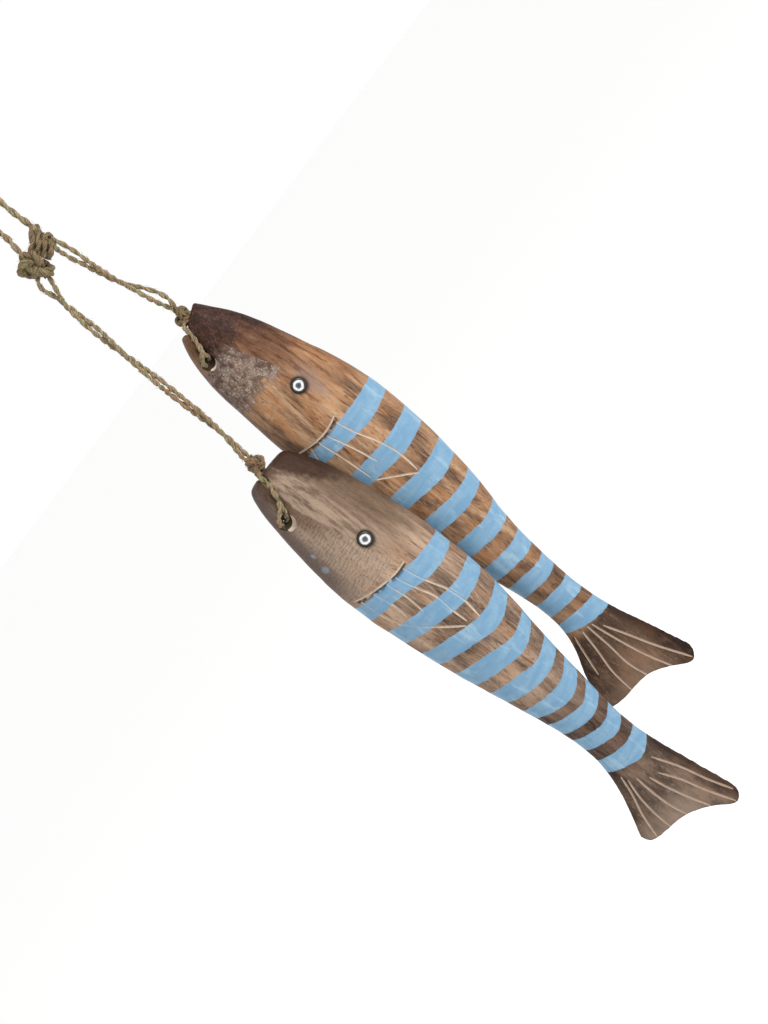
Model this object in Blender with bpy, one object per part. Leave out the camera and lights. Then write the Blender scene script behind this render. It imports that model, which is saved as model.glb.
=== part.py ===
"""A hanging bunch of two carved and painted wooden fish on natural twine.

The origin is the inside top of the hanging loop, where a nail or hook carries it, and +Z is up.
The fish hang head up with their backs to +X. The front fish is on the -Y side of the rear one.
Lengths in the tables below are in millimetres, and a depth is a distance below the origin.
"""

import math

import bmesh
import bpy
import numpy as np
from mathutils import Matrix, Vector

MM = 0.001

# Twine
LOOP_CORD_D = 3.6
STRAND_D = 2.8
CORD_STEP_D = 2.4  # distance between the points of a tube, in cord diameters
BEND_STEP_D = 1.3  # closer where the twine bends tightly
# Centreline of the hanging loop: up its left leg, round the top and down its right leg (x, y, z)
LOOP_ROUTE = [
    (-7.4, 0.0, -37.2), (-6.1, 0.0, -31.0), (-5.8, 0.0, -25.0), (-6.3, 0.0, -18.5), (-7.2, 0.0, -12.0),
    (-7.4, 0.0, -6.0), (-5.3, 0.0, -0.7), (0.0, 0.0, 1.8), (5.3, 0.0, -0.7), (7.4, 0.0, -6.0),
    (7.0, 0.0, -12.0), (6.0, 0.0, -18.5), (5.6, 0.0, -25.0), (5.7, 0.0, -34.6),
]

# Gathering knot: the big knot on the left leg, the wraps on the right leg and the web between (centre, radii)
KNOT_LUMPS = [
    ((-8.7, 0.0, -47.2), (7.6, 6.4, 9.2)),
    ((5.7, 0.0, -43.8), (4.0, 4.4, 8.2)),
    ((-1.2, 0.0, -43.2), (5.6, 4.2, 6.2)),
]

# Each doubled twine: depth, x and y of the pair's middle, how far the pair has turned, half its spread
FRONT_PAIR = [
    (57.4, -12.2, 0.0, 0, 3.1), (63, -13.2, -0.4, 35, 2.0), (69, -14.4, -0.9, 85, 1.6),
    (80, -15.3, -1.8, 140, 1.6), (92, -15.9, -2.7, 195, 1.6), (106, -16.7, -3.8, 265, 1.6),
    (120, -17.1, -4.8, 320, 1.6), (134, -17.5, -5.9, 360, 1.6), (148, -17.9, -6.9, 385, 1.6),
    (160, -18.3, -7.9, 420, 1.6), (170, -19.1, -8.8, 465, 1.6), (178, -20.4, -9.7, 500, 1.6),
    (183.2, -21.2, -10.3, 520, 1.6),
]
REAR_PAIR = [
    (52.9, 6.1, 0.0, 0, 1.9), (60, 6.8, 0.8, 10, 1.8), (68, 7.6, 1.7, 30, 1.6), (76, 8.6, 2.8, 60, 1.6),
    (85, 10.1, 4.3, 95, 1.6), (94, 12.8, 6.1, 140, 1.9), (103, 15.2, 8.0, 180, 2.3),
    (108.0, 15.9, 9.2, 200, 2.0), (111.6, 15.9, 10.2, 215, 1.6),
]

# Snout knots, whose upright middle line is also the line that each fish turns about
SNOUT_KNOT_R = (4.8, 4.8, 5.2)
FRONT_SNOUT_KNOT = (-21.5, -10.5, -188.8)
REAR_SNOUT_KNOT = (15.8, 10.5, -117.4)

# Each fish in side view: depth, belly edge x, back edge x, half thickness
FRONT_OUTLINE = [
    (194.4, -31.5, -10.0, 4.4), (195.6, -33.6, -7.6, 5.6), (198, -35.4, -5.8, 6.8), (204, -38.0, -3.4, 8.6),
    (212, -40.3, -0.7, 10.6), (224, -43.0, 1.7, 12.7), (242, -46.4, 4.2, 14.7), (260, -48.7, 6.2, 15.8),
    (278, -49.2, 6.9, 16.2), (296, -48.4, 6.5, 16.0), (315, -47.0, 4.9, 15.2), (333, -45.3, 2.4, 14.1),
    (352, -43.0, -1.2, 12.8), (371, -40.4, -4.9, 11.3), (390, -38.1, -7.9, 9.9), (403, -37.2, -10.0, 8.9),
    (415, -37.6, -11.8, 7.8), (425, -39.2, -11.9, 6.6), (435, -42.1, -11.2, 5.2), (448, -48.0, -9.7, 3.9),
    (461, -55.4, -8.2, 3.0), (480, -64.0, -5.7, 2.4), (500, -72.0, -3.2, 2.0),
]
REAR_OUTLINE = [
    (116.6, 16.0, 21.8, 3.2), (118, 13.6, 23.4, 4.3), (121, 9.2, 25.2, 5.9), (124.5, 5.4, 27.0, 7.2),
    (129, 2.9, 29.3, 8.4), (134, 0.6, 32.0, 9.5), (143, -2.1, 35.2, 11.1), (155, -4.5, 38.4, 12.8),
    (167, -5.8, 41.0, 14.0), (180, -7.2, 43.7, 15.0), (196, -8.6, 46.6, 15.8), (213, -9.2, 48.1, 16.2),
    (230, -8.6, 47.8, 16.1), (250, -6.4, 46.1, 15.6), (270, -3.3, 43.5, 14.7), (289, -0.5, 39.7, 13.6),
    (308, 2.0, 34.8, 12.2), (326, 4.0, 31.9, 10.8), (340, 5.2, 30.3, 9.6), (353, 6.1, 29.2, 8.5),
    (365, 5.6, 29.0, 7.2), (377, 2.8, 29.6, 5.8), (384, -0.6, 30.7, 5.0), (390, -4.8, 31.8, 4.4),
    (397, -8.7, 33.4, 3.8), (405, -12.2, 35.3, 3.3), (420, -18.0, 38.4, 2.6), (442, -24.0, 42.0, 2.0),
]
FRONT_RINGS = (194.4, 500.0)
REAR_RINGS = (116.6, 442.0)
FRONT_TAIL_ROOT = 424.0  # depth where the round body turns into the flat fin
REAR_TAIL_ROOT = 372.0
RING_SIDES = 24

# Mouth slot with its opening at the snout, as a closed outline (x, z)
FRONT_MOUTH_SLOT = [
    (-21.4, -190.0), (-22.2, -196.2), (-22.8, -199.2), (-28.2, -213.6), (-30.8, -219.0), (-35.0, -216.6),
    (-32.0, -212.8), (-26.4, -197.9), (-27.6, -195.8), (-29.8, -190.0),
]
REAR_MOUTH_SLOT = [
    (30.0, -108.0), (24.2, -117.4), (12.6, -128.0), (12.0, -129.2), (8.6, -138.4), (7.8, -144.0),
    (4.6, -141.6), (4.5, -137.0), (8.5, -127.7), (7.8, -126.2), (5.2, -125.4), (-8.0, -128.0), (-8.0, -108.0),
]
# Hole at the corner of the mouth that the twine goes through (x, z, radius)
FRONT_HOLE = (-35.0, -216.6, 4.3)
REAR_HOLE = (4.6, -141.6, 4.0)
HOLE_SIDES = 20

# Free edge of each tail fin, with its two rounded lobes, closed round the waste below it (x, z)
FRONT_TAIL_END = [
    (-80.0, -450.0), (-56.6, -460.6), (-56.0, -465.0), (-54.4, -468.6), (-51.0, -470.6), (-43.8, -471.9),
    (-36.6, -473.4), (-30.4, -476.2), (-24.2, -481.0), (-18.0, -487.6), (-14.0, -492.4), (-11.0, -494.2),
    (-7.8, -492.4), (-5.6, -488.0), (-5.0, -482.0), (10.0, -478.0), (10.0, -520.0), (-80.0, -520.0),
]
REAR_TAIL_END = [
    (-30.0, -404.0), (-14.4, -408.6), (-14.2, -412.2), (-12.8, -415.4), (-9.6, -417.2), (-4.0, -418.3),
    (5.8, -419.2), (14.7, -421.6), (19.6, -424.8), (24.2, -428.6), (28.0, -432.4), (31.2, -435.4),
    (34.3, -436.4), (37.4, -434.6), (39.2, -430.4), (39.6, -424.0), (52.0, -420.0), (52.0, -460.0),
    (-30.0, -460.0),
]

# Eyes: shallow painted studs, seated in sockets on both sides of the head (x, z, y of the cheek there)
EYE_R = 3.8
EYE_PROFILE = [(0.0, 1.0), (1.6, 0.92), (2.8, 0.66), (3.5, 0.28), (3.8, -0.3), (3.8, -1.2)]
EYE_SIDES = 20
SOCKET_DEPTH = 1.5
FIT_GAP = 0.3
FRONT_EYE = (-18.0, -251.5, 15.1)
REAR_EYE = (22.3, -182.9, 15.0)

# Mouth strands on the near cheek, from the snout knot down into the hole; the far cheek mirrors them.
# y is measured from the middle of the fish, outwards.
FRONT_STRAND_LEFT = [
    (-24.6, 4.7, -193.9), (-24.7, 6.0, -198.6), (-26.5, 8.9, -203.2), (-28.4, 10.7, -207.4),
    (-31.4, 10.8, -210.4), (-34.8, 10.2, -212.4), (-37.0, 8.8, -214.6), (-37.3, 6.0, -215.6),
    (-37.3, 3.0, -215.6), (-37.3, 0.0, -215.6),
]
FRONT_STRAND_RIGHT = [
    (-24.6, 1.6, -193.9), (-24.9, 2.6, -199.2), (-26.9, 5.2, -204.6), (-29.1, 7.4, -210.2),
    (-30.6, 7.6, -213.4), (-32.2, 6.2, -215.2), (-32.6, 3.2, -215.6), (-32.6, 0.0, -215.6),
]
REAR_STRAND_LEFT = [
    (11.4, 4.7, -122.6), (10.4, 6.4, -127.6), (8.9, 9.4, -131.6), (7.2, 11.4, -135.2),
    (4.7, 11.4, -137.4), (2.8, 9.6, -139.6), (2.4, 6.4, -140.8), (2.4, 3.0, -140.8), (2.4, 0.0, -140.8),
]
REAR_STRAND_RIGHT = [
    (11.4, 1.6, -122.8), (10.3, 2.8, -128.2), (8.6, 5.6, -132.6), (7.2, 7.6, -136.6),
    (6.9, 7.8, -139.2), (6.9, 5.8, -140.6), (6.9, 3.0, -140.8), (6.9, 0.0, -140.8),
]

COLOURS = {
    "twine": ((0.30, 0.22, 0.10), 0.9),
    "front_wood": ((0.30, 0.18, 0.10), 0.6),
    "rear_wood": ((0.32, 0.17, 0.09), 0.6),
    "eye_paint": ((0.85, 0.85, 0.82), 0.4),
}


def clear_scene():
    for obj in list(bpy.data.objects):
        bpy.data.objects.remove(obj)


def finish_of(obj, name):
    """Gives an object its own material."""
    colour, roughness = COLOURS[name]
    material = bpy.data.materials.new(f"{obj.name}_{name}")
    material.use_nodes = True
    shader = material.node_tree.nodes["Principled BSDF"]
    shader.inputs["Base Color"].default_value = (*colour, 1.0)
    shader.inputs["Roughness"].default_value = roughness
    shader.inputs["Metallic"].default_value = 0.0
    obj.data.materials.append(material)


def add_mesh(name, mesh_bm, finish=None):
    """Makes an object from a bmesh. With no finish it is a cutter, which the model leaves out."""
    bmesh.ops.recalc_face_normals(mesh_bm, faces=mesh_bm.faces)
    mesh = bpy.data.meshes.new(name)
    mesh_bm.to_mesh(mesh)
    mesh_bm.free()
    obj = bpy.data.objects.new(name, mesh)
    bpy.context.scene.collection.objects.link(obj)
    if finish is None:
        obj.hide_render = True
        obj.display_type = "WIRE"
    else:
        mesh.shade_smooth()
        mesh.set_sharp_from_angle(angle=math.radians(40))
        finish_of(obj, finish)
    return obj


def combine(target, other, operation):
    modifier = target.modifiers.new(other.name, "BOOLEAN")
    modifier.operation = operation
    modifier.solver = "EXACT"
    modifier.object = other


def axis_empty(name, place):
    """An empty on a joint's axis, which carries the pieces that move about it."""
    empty = bpy.data.objects.new(name, None)
    empty.empty_display_size = 0.01
    empty.location = Vector(place) * MM
    bpy.context.scene.collection.objects.link(empty)
    return empty


def carry(empty, *pieces):
    """Parents pieces to an empty and leaves them where they are."""
    for piece in pieces:
        piece.parent = empty
        piece.matrix_parent_inverse = Matrix.Translation(-empty.location)


def read_through(rows, at):
    """Reads a smooth curve through the rows at the given values of their first column."""
    rows = np.array(rows, float)
    station, values = rows[:, 0], rows[:, 1:]
    slope = np.gradient(values, station, axis=0)
    i = np.clip(np.searchsorted(station, at, side="right") - 1, 0, len(station) - 2)
    gap = (station[i + 1] - station[i])[:, None]
    t = (np.asarray(at) - station[i])[:, None] / gap
    start, end = values[i], values[i + 1]
    return (
        start * (1 + 2 * t) * (1 - t) ** 2
        + end * t**2 * (3 - 2 * t)
        + slope[i] * gap * t * (1 - t) ** 2
        + slope[i + 1] * gap * t**2 * (t - 1)
    )


def even_points(route, step):
    """Points a step apart on the smooth curve through a route's own points."""
    route = np.array(route, float)
    run = np.concatenate([[0.0], np.cumsum(np.linalg.norm(np.diff(route, axis=0), axis=1))])
    count = max(4, round(run[-1] / step) + 1)
    return read_through(np.column_stack([run, route]), np.linspace(0.0, run[-1], count))


def add_cord(name, route, diameter, step_d=CORD_STEP_D):
    """A tube of twine along a route, with filled ends."""
    points = even_points(route, step_d * diameter)
    curve = bpy.data.curves.new(name, "CURVE")
    curve.dimensions = "3D"
    curve.bevel_depth = diameter / 2 * MM
    curve.bevel_resolution = 2
    curve.use_fill_caps = True
    spline = curve.splines.new("POLY")
    spline.points.add(len(points) - 1)
    for spline_point, place in zip(spline.points, points):
        spline_point.co = (*(place * MM), 1.0)
    obj = bpy.data.objects.new(name, curve)
    bpy.context.scene.collection.objects.link(obj)
    finish_of(obj, "twine")
    return obj


def pair_routes(rows):
    """The two strands of a doubled twine, which lie side by side and turn about each other."""
    depth, x, y, turn, spread = np.array(rows, float).T
    side = np.radians(turn)
    middle = np.column_stack([x, y, -depth])
    across = np.column_stack([np.cos(side), -np.sin(side), np.zeros(len(side))]) * spread[:, None]
    return middle - across, middle + across


def smooth_pair_routes(rows):
    rows = np.array(rows, float)
    depths = np.linspace(rows[0, 0], rows[-1, 0], 3 * len(rows))
    return pair_routes(np.column_stack([depths, read_through(rows, depths)]))


def ellipsoid(centre, radii, segments=16, rings=10):
    mesh_bm = bmesh.new()
    bmesh.ops.create_uvsphere(mesh_bm, u_segments=segments, v_segments=rings, radius=1.0)
    bmesh.ops.scale(mesh_bm, vec=Vector(radii) * MM, verts=mesh_bm.verts)
    bmesh.ops.translate(mesh_bm, vec=Vector(centre) * MM, verts=mesh_bm.verts)
    return mesh_bm


def add_gathering_knot():
    """One big knot on the left leg, tied across to the wraps on the right leg."""
    knot = add_mesh("gathering_knot", ellipsoid(*KNOT_LUMPS[0]), "twine")
    for number, lump in enumerate(KNOT_LUMPS[1:]):
        combine(knot, add_mesh(f"knot_lump_{number}", ellipsoid(*lump)), "UNION")
    return knot


def prism(outline, y_middle, half_width):
    """A block with the given outline (x, z), for cutting right through a fish."""
    mesh_bm = bmesh.new()
    near = [mesh_bm.verts.new(Vector((x, y_middle - half_width, z)) * MM) for x, z in outline]
    face = mesh_bm.faces.new(near)
    grown = bmesh.ops.extrude_face_region(mesh_bm, geom=[face])
    moved = [g for g in grown["geom"] if isinstance(g, bmesh.types.BMVert)]
    bmesh.ops.translate(mesh_bm, vec=Vector((0, 2 * half_width, 0)) * MM, verts=moved)
    return mesh_bm


def ring_depths(start, end):
    """Closer rings at the blunt snout, then even ones down to the tail."""
    snout = start + np.array([0.0, 0.6, 1.6, 3.2, 5.6, 9.0, 13.5])
    return np.concatenate([snout, np.linspace(start + 20.0, end, 27)])


def fish_loft(outline, depth_range, y_middle, tail_root):
    """Rings round the fish from snout to tail: round in the body, flat-sided in the tail fin."""
    mesh_bm = bmesh.new()
    angles = 2 * np.pi * (np.arange(RING_SIDES) + 0.5) / RING_SIDES
    rings = []
    depths = ring_depths(*depth_range)
    for depth, (belly, back, half_thick) in zip(depths, read_through(outline, depths)):
        flat = np.clip((depth - tail_root + 20.0) / 45.0, 0.0, 1.0)
        power = 2.0 / (2.0 + 1.4 * flat)
        across = np.sign(np.cos(angles)) * np.abs(np.cos(angles)) ** power
        outward = np.sign(np.sin(angles)) * np.abs(np.sin(angles)) ** power
        x = (belly + back) / 2 + (back - belly) / 2 * across
        y = y_middle + half_thick * outward
        rings.append([mesh_bm.verts.new(Vector((a, b, -depth)) * MM) for a, b in zip(x, y)])
    for upper, lower in zip(rings, rings[1:]):
        for k in range(RING_SIDES):
            n = (k + 1) % RING_SIDES
            mesh_bm.faces.new((upper[k], upper[n], lower[n], lower[k]))
    mesh_bm.faces.new(rings[0])
    mesh_bm.faces.new(rings[-1])
    return mesh_bm


def disc_along_y(x, z, y_from, y_to, radius, sides):
    """A cylinder that lies along Y, for drilling a hole or a socket."""
    turns = [2 * math.pi * (k + 0.5) / sides for k in range(sides)]
    outline = [(x + radius * math.cos(a), z + radius * math.sin(a)) for a in turns]
    return prism(outline, (y_from + y_to) / 2, abs(y_to - y_from) / 2)


def add_eye(name, x, z, cheek_y, outward):
    """A domed stud turned about a line along Y; outward is -1 on the near cheek and 1 on the far one."""
    mesh_bm = bmesh.new()
    rings = []
    for radius, height in EYE_PROFILE[1:]:
        turns = [2 * math.pi * k / EYE_SIDES for k in range(EYE_SIDES)]
        y = cheek_y + outward * height
        rings.append([
            mesh_bm.verts.new(Vector((x + radius * math.cos(a), y, z + radius * math.sin(a))) * MM)
            for a in turns
        ])
    crown = mesh_bm.verts.new(Vector((x, cheek_y + outward * EYE_PROFILE[0][1], z)) * MM)
    for k in range(EYE_SIDES):
        n = (k + 1) % EYE_SIDES
        mesh_bm.faces.new((crown, rings[0][k], rings[0][n]))
        for inner, outer in zip(rings, rings[1:]):
            mesh_bm.faces.new((inner[k], outer[k], outer[n], inner[n]))
    mesh_bm.faces.new(rings[-1])
    return add_mesh(name, mesh_bm, "eye_paint")


def add_fish(prefix, outline, depth_range, tail_root, y_middle, slot, hole, tail_end, eye):
    """One carved body with its mouth slot, twine hole, eye sockets and cut tail edge, and its two eyes."""
    reach = 40.0
    body = add_mesh(
        f"{prefix}_fish_body", fish_loft(outline, depth_range, y_middle, tail_root), f"{prefix}_wood"
    )
    combine(body, add_mesh(f"{prefix}_tail_waste", prism(tail_end, y_middle, reach)), "DIFFERENCE")
    combine(body, add_mesh(f"{prefix}_slot_cutter", prism(slot, y_middle, reach)), "DIFFERENCE")
    x, z, radius = hole
    drill = disc_along_y(x, z, y_middle - reach, y_middle + reach, radius, HOLE_SIDES)
    combine(body, add_mesh(f"{prefix}_hole_drill", drill), "DIFFERENCE")
    pieces = [body]
    x, z, cheek = eye
    for side, outward in (("near", -1), ("far", 1)):
        cheek_y = y_middle + outward * cheek
        floor_y = cheek_y - outward * SOCKET_DEPTH
        socket = disc_along_y(x, z, floor_y, cheek_y + outward * 8.0, EYE_R + FIT_GAP, EYE_SIDES)
        combine(body, add_mesh(f"{prefix}_{side}_socket", socket), "DIFFERENCE")
        pieces.append(add_eye(f"{prefix}_{side}_eye", x, z, cheek_y, outward))
    return pieces


def add_mouth_strand(name, near_route, y_middle):
    """A strand down the near cheek, through the hole and up the far cheek."""
    near = [(x, y_middle - y, z) for x, y, z in near_route]
    far = [(x, y_middle + y, z) for x, y, z in reversed(near_route[:-1])]
    return add_cord(name, near + far, STRAND_D, BEND_STEP_D)


def add_line(prefix, pair, knot_place):
    """The doubled twine from the gathering knot down to the knot at the snout."""
    left, right = smooth_pair_routes(pair)
    return [
        add_cord(f"{prefix}_twine_left", left, STRAND_D),
        add_cord(f"{prefix}_twine_right", right, STRAND_D),
        add_mesh(f"{prefix}_snout_knot", ellipsoid(knot_place, SNOUT_KNOT_R), "twine"),
    ]


def build():
    clear_scene()
    hanger = axis_empty("hanging_point", (0, 0, 0))
    loop = add_cord("hanging_loop", LOOP_ROUTE, LOOP_CORD_D, BEND_STEP_D)
    carry(hanger, loop, add_gathering_knot())

    front_swing = axis_empty("front_swing_axis", KNOT_LUMPS[0][0])
    rear_swing = axis_empty("rear_swing_axis", KNOT_LUMPS[1][0])
    carry(front_swing, *add_line("front", FRONT_PAIR, FRONT_SNOUT_KNOT))
    carry(rear_swing, *add_line("rear", REAR_PAIR, REAR_SNOUT_KNOT))

    front_turn = axis_empty("front_turn_axis", FRONT_SNOUT_KNOT)
    rear_turn = axis_empty("rear_turn_axis", REAR_SNOUT_KNOT)
    front_y, rear_y = FRONT_SNOUT_KNOT[1], REAR_SNOUT_KNOT[1]
    carry(
        front_turn,
        *add_fish("front", FRONT_OUTLINE, FRONT_RINGS, FRONT_TAIL_ROOT, front_y,
                  FRONT_MOUTH_SLOT, FRONT_HOLE, FRONT_TAIL_END, FRONT_EYE),
        add_mouth_strand("front_mouth_strand_left", FRONT_STRAND_LEFT, front_y),
        add_mouth_strand("front_mouth_strand_right", FRONT_STRAND_RIGHT, front_y),
    )
    carry(
        rear_turn,
        *add_fish("rear", REAR_OUTLINE, REAR_RINGS, REAR_TAIL_ROOT, rear_y,
                  REAR_MOUTH_SLOT, REAR_HOLE, REAR_TAIL_END, REAR_EYE),
        add_mouth_strand("rear_mouth_strand_left", REAR_STRAND_LEFT, rear_y),
        add_mouth_strand("rear_mouth_strand_right", REAR_STRAND_RIGHT, rear_y),
    )


build()
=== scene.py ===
# %% [markdown]
# # A hanging bunch of two carved wooden fish
# The real thing is two blocks of wood carved as fish, oiled, painted with sky-blue stripes and hung
# head up on doubled natural twine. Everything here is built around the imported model, which already
# fixes where each piece is, so every new piece goes straight to its place in metres, +Z up.

# %% Load the frame
import math

import bpy
import numpy as np
from mathutils import Matrix, Vector


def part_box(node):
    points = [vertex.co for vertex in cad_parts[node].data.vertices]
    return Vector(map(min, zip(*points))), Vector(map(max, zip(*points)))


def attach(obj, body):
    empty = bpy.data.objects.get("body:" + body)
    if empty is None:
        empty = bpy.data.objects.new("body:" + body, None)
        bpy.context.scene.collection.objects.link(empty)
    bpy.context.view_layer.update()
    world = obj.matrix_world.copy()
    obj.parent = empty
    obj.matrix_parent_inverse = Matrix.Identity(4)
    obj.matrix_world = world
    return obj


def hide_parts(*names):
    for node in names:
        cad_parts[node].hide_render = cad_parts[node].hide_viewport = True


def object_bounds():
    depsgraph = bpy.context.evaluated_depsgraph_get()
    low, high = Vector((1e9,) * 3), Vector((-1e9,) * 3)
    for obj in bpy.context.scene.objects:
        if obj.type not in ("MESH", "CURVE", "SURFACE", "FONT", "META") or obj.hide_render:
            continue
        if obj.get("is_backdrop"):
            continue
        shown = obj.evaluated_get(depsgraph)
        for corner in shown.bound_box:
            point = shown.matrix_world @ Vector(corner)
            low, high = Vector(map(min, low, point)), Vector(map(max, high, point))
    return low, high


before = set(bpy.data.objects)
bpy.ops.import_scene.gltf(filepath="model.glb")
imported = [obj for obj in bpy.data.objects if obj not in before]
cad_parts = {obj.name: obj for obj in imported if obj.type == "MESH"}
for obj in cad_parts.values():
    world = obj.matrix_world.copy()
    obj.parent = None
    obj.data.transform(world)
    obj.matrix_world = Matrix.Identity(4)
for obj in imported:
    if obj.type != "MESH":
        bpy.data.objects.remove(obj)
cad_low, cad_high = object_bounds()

MM = 0.001
NEAR, FAR = -1, 1  # the two sides of each fish, towards -Y and +Y
fish_middle = {}
for fish in ("front", "rear"):
    low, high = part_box(f"{fish}_near_eye")[0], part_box(f"{fish}_far_eye")[1]
    fish_middle[fish] = (low.y + high.y) / 2
print("frame:", len(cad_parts), "nodes; middles of the fish:", fish_middle)

# %% [markdown]
# ## Camera
# The bunch is seen a little from above and turned in the frame, as if it lay slantwise on the page.
# Turning the camera about its own line of sight does that, and the bunch itself keeps hanging
# straight, which its joints need.

# %% Camera
CAMERA_LENS = 60.0
CAMERA_TILT = math.radians(10.0)  # looking down
CAMERA_ROLL = math.radians(53.0)  # turned clockwise, so the heads point to the upper left
CAMERA_DISTANCE = 0.8533
CAMERA_TARGET = Vector((-0.002, 0.0, -0.2556))

forward = Vector((0.0, math.cos(CAMERA_TILT), -math.sin(CAMERA_TILT)))
straight_up = Vector((0.0, math.sin(CAMERA_TILT), math.cos(CAMERA_TILT)))
right = math.cos(CAMERA_ROLL) * Vector((1, 0, 0)) - math.sin(CAMERA_ROLL) * straight_up
up = math.sin(CAMERA_ROLL) * Vector((1, 0, 0)) + math.cos(CAMERA_ROLL) * straight_up
camera_data = bpy.data.cameras.new("camera")
camera_data.lens = CAMERA_LENS
camera_data.sensor_width = 36.0
camera_data.clip_start = 0.01
camera = bpy.data.objects.new("camera", camera_data)
bpy.context.scene.collection.objects.link(camera)
turn = Matrix((right, up, -forward)).transposed().to_4x4()
camera.matrix_world = Matrix.Translation(CAMERA_TARGET - forward * CAMERA_DISTANCE) @ turn
bpy.context.scene.camera = camera
print("camera at", tuple(round(v, 3) for v in camera.location))

# %% [markdown]
# ## Routes of the twine
# A maker ties one loop to hang the bunch by, and a doubled strand down to each snout. The points
# below are where each strand's middle line runs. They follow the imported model's plain tubes, but the
# strands of a pair lie closer together and the mouth strands end nearer the middle of the hole.
# A smooth curve is read through them, because twine bends and never kinks.

# %% Routes, in metres
LOOP_ROUTE = [
    (-0.0074, 0.0, -0.0372), (-0.0061, 0.0, -0.0310), (-0.0058, 0.0, -0.0250), (-0.0063, 0.0, -0.0185),
    (-0.0072, 0.0, -0.0120), (-0.0074, 0.0, -0.0060), (-0.0053, 0.0, -0.0007), (0.0, 0.0, 0.0018),
    (0.0053, 0.0, -0.0007), (0.0074, 0.0, -0.0060), (0.0070, 0.0, -0.0120), (0.0060, 0.0, -0.0185),
    (0.0056, 0.0, -0.0250), (0.0057, 0.0, -0.0346),
]
# Each doubled twine: depth, x and y of the pair's middle, how far the pair has turned in degrees, and
# half the distance between its strands
FRONT_PAIR = [
    (0.0574, -0.0122, 0.0, 0, 0.0031), (0.063, -0.0132, -0.0004, 35, 0.0020),
    (0.069, -0.0144, -0.0009, 85, 0.00125), (0.080, -0.0153, -0.0018, 140, 0.00125),
    (0.092, -0.0159, -0.0027, 195, 0.00125), (0.106, -0.0167, -0.0038, 265, 0.00125),
    (0.120, -0.0171, -0.0048, 320, 0.00125), (0.134, -0.0175, -0.0059, 360, 0.00125),
    (0.148, -0.0179, -0.0069, 385, 0.00125), (0.160, -0.0183, -0.0079, 420, 0.00125),
    (0.170, -0.0191, -0.0088, 465, 0.00125), (0.178, -0.0204, -0.0097, 500, 0.00125),
    (0.1832, -0.0212, -0.0103, 520, 0.00125),
]
REAR_PAIR = [
    (0.0529, 0.0061, 0.0, 0, 0.0019), (0.060, 0.0068, 0.0008, 10, 0.0018),
    (0.068, 0.0076, 0.0017, 30, 0.00125), (0.076, 0.0086, 0.0028, 60, 0.00125),
    (0.085, 0.0101, 0.0043, 95, 0.00125), (0.094, 0.0128, 0.0061, 140, 0.0019),
    (0.103, 0.0152, 0.0080, 180, 0.0023), (0.1080, 0.0159, 0.0092, 200, 0.0020),
    (0.1116, 0.0159, 0.0102, 215, 0.00125),
]
# Mouth strands on the near cheek, down into the hole; y is measured outwards from the middle of the fish
FRONT_STRAND_LEFT = [
    (-0.0246, 0.0047, -0.1939), (-0.0247, 0.0060, -0.1986), (-0.0265, 0.0089, -0.2032),
    (-0.0284, 0.0107, -0.2074), (-0.0314, 0.0110, -0.2104), (-0.0350, 0.0104, -0.2126),
    (-0.0374, 0.0088, -0.2148), (-0.0372, 0.0060, -0.2162), (-0.0364, 0.0030, -0.2170),
    (-0.0362, 0.0, -0.2172),
]
FRONT_STRAND_RIGHT = [
    (-0.0246, 0.0016, -0.1939), (-0.0249, 0.0026, -0.1992), (-0.0269, 0.0052, -0.2046),
    (-0.0290, 0.0078, -0.2102), (-0.0306, 0.0084, -0.2134), (-0.0322, 0.0066, -0.2156),
    (-0.0336, 0.0030, -0.2170), (-0.0338, 0.0, -0.2172),
]
REAR_STRAND_LEFT = [
    (0.0114, 0.0047, -0.1226), (0.0104, 0.0064, -0.1276), (0.0089, 0.0094, -0.1316),
    (0.0072, 0.0114, -0.1352), (0.0047, 0.0114, -0.1374), (0.0028, 0.0096, -0.1396),
    (0.0026, 0.0062, -0.1414), (0.0033, 0.0030, -0.1420), (0.0034, 0.0, -0.1422),
]
REAR_STRAND_RIGHT = [
    (0.0114, 0.0016, -0.1228), (0.0103, 0.0028, -0.1282), (0.0086, 0.0056, -0.1326),
    (0.0072, 0.0076, -0.1366), (0.0069, 0.0078, -0.1392), (0.0069, 0.0058, -0.1406),
    (0.0060, 0.0030, -0.1420), (0.0058, 0.0, -0.1422),
]
LOOP_CORD_D = 0.0036
STRAND_D = 0.0028
KNOT_LUMPS = {  # the knot on the left leg, and the wraps on the right leg
    "left": Vector((-0.0087, 0.0, -0.0472)),
    "right": Vector((0.0057, 0.0, -0.0438)),
}
snout_knot = {}
for fish in ("front", "rear"):
    low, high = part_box(f"{fish}_snout_knot")
    snout_knot[fish] = (low + high) / 2


def read_through(rows, at):
    """Reads a smooth curve through the rows at the given values of their first column."""
    rows = np.array(rows, float)
    station, values = rows[:, 0], rows[:, 1:]
    slope = np.gradient(values, station, axis=0)
    i = np.clip(np.searchsorted(station, at, side="right") - 1, 0, len(station) - 2)
    gap = (station[i + 1] - station[i])[:, None]
    t = (np.asarray(at) - station[i])[:, None] / gap
    return (
        values[i] * (1 + 2 * t) * (1 - t) ** 2
        + values[i + 1] * t**2 * (3 - 2 * t)
        + slope[i] * gap * t * (1 - t) ** 2
        + slope[i + 1] * gap * t**2 * (t - 1)
    )


def run_along(points):
    """Distance along a route at each of its points."""
    return np.concatenate([[0.0], np.cumsum(np.linalg.norm(np.diff(points, axis=0), axis=1))])


def even_points(route, step):
    """Points a step apart on the smooth curve through a route."""
    route = np.array(route, float)
    run = run_along(route)
    return read_through(np.column_stack([run, route]), np.linspace(0.0, run[-1], round(run[-1] / step) + 1))


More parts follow.
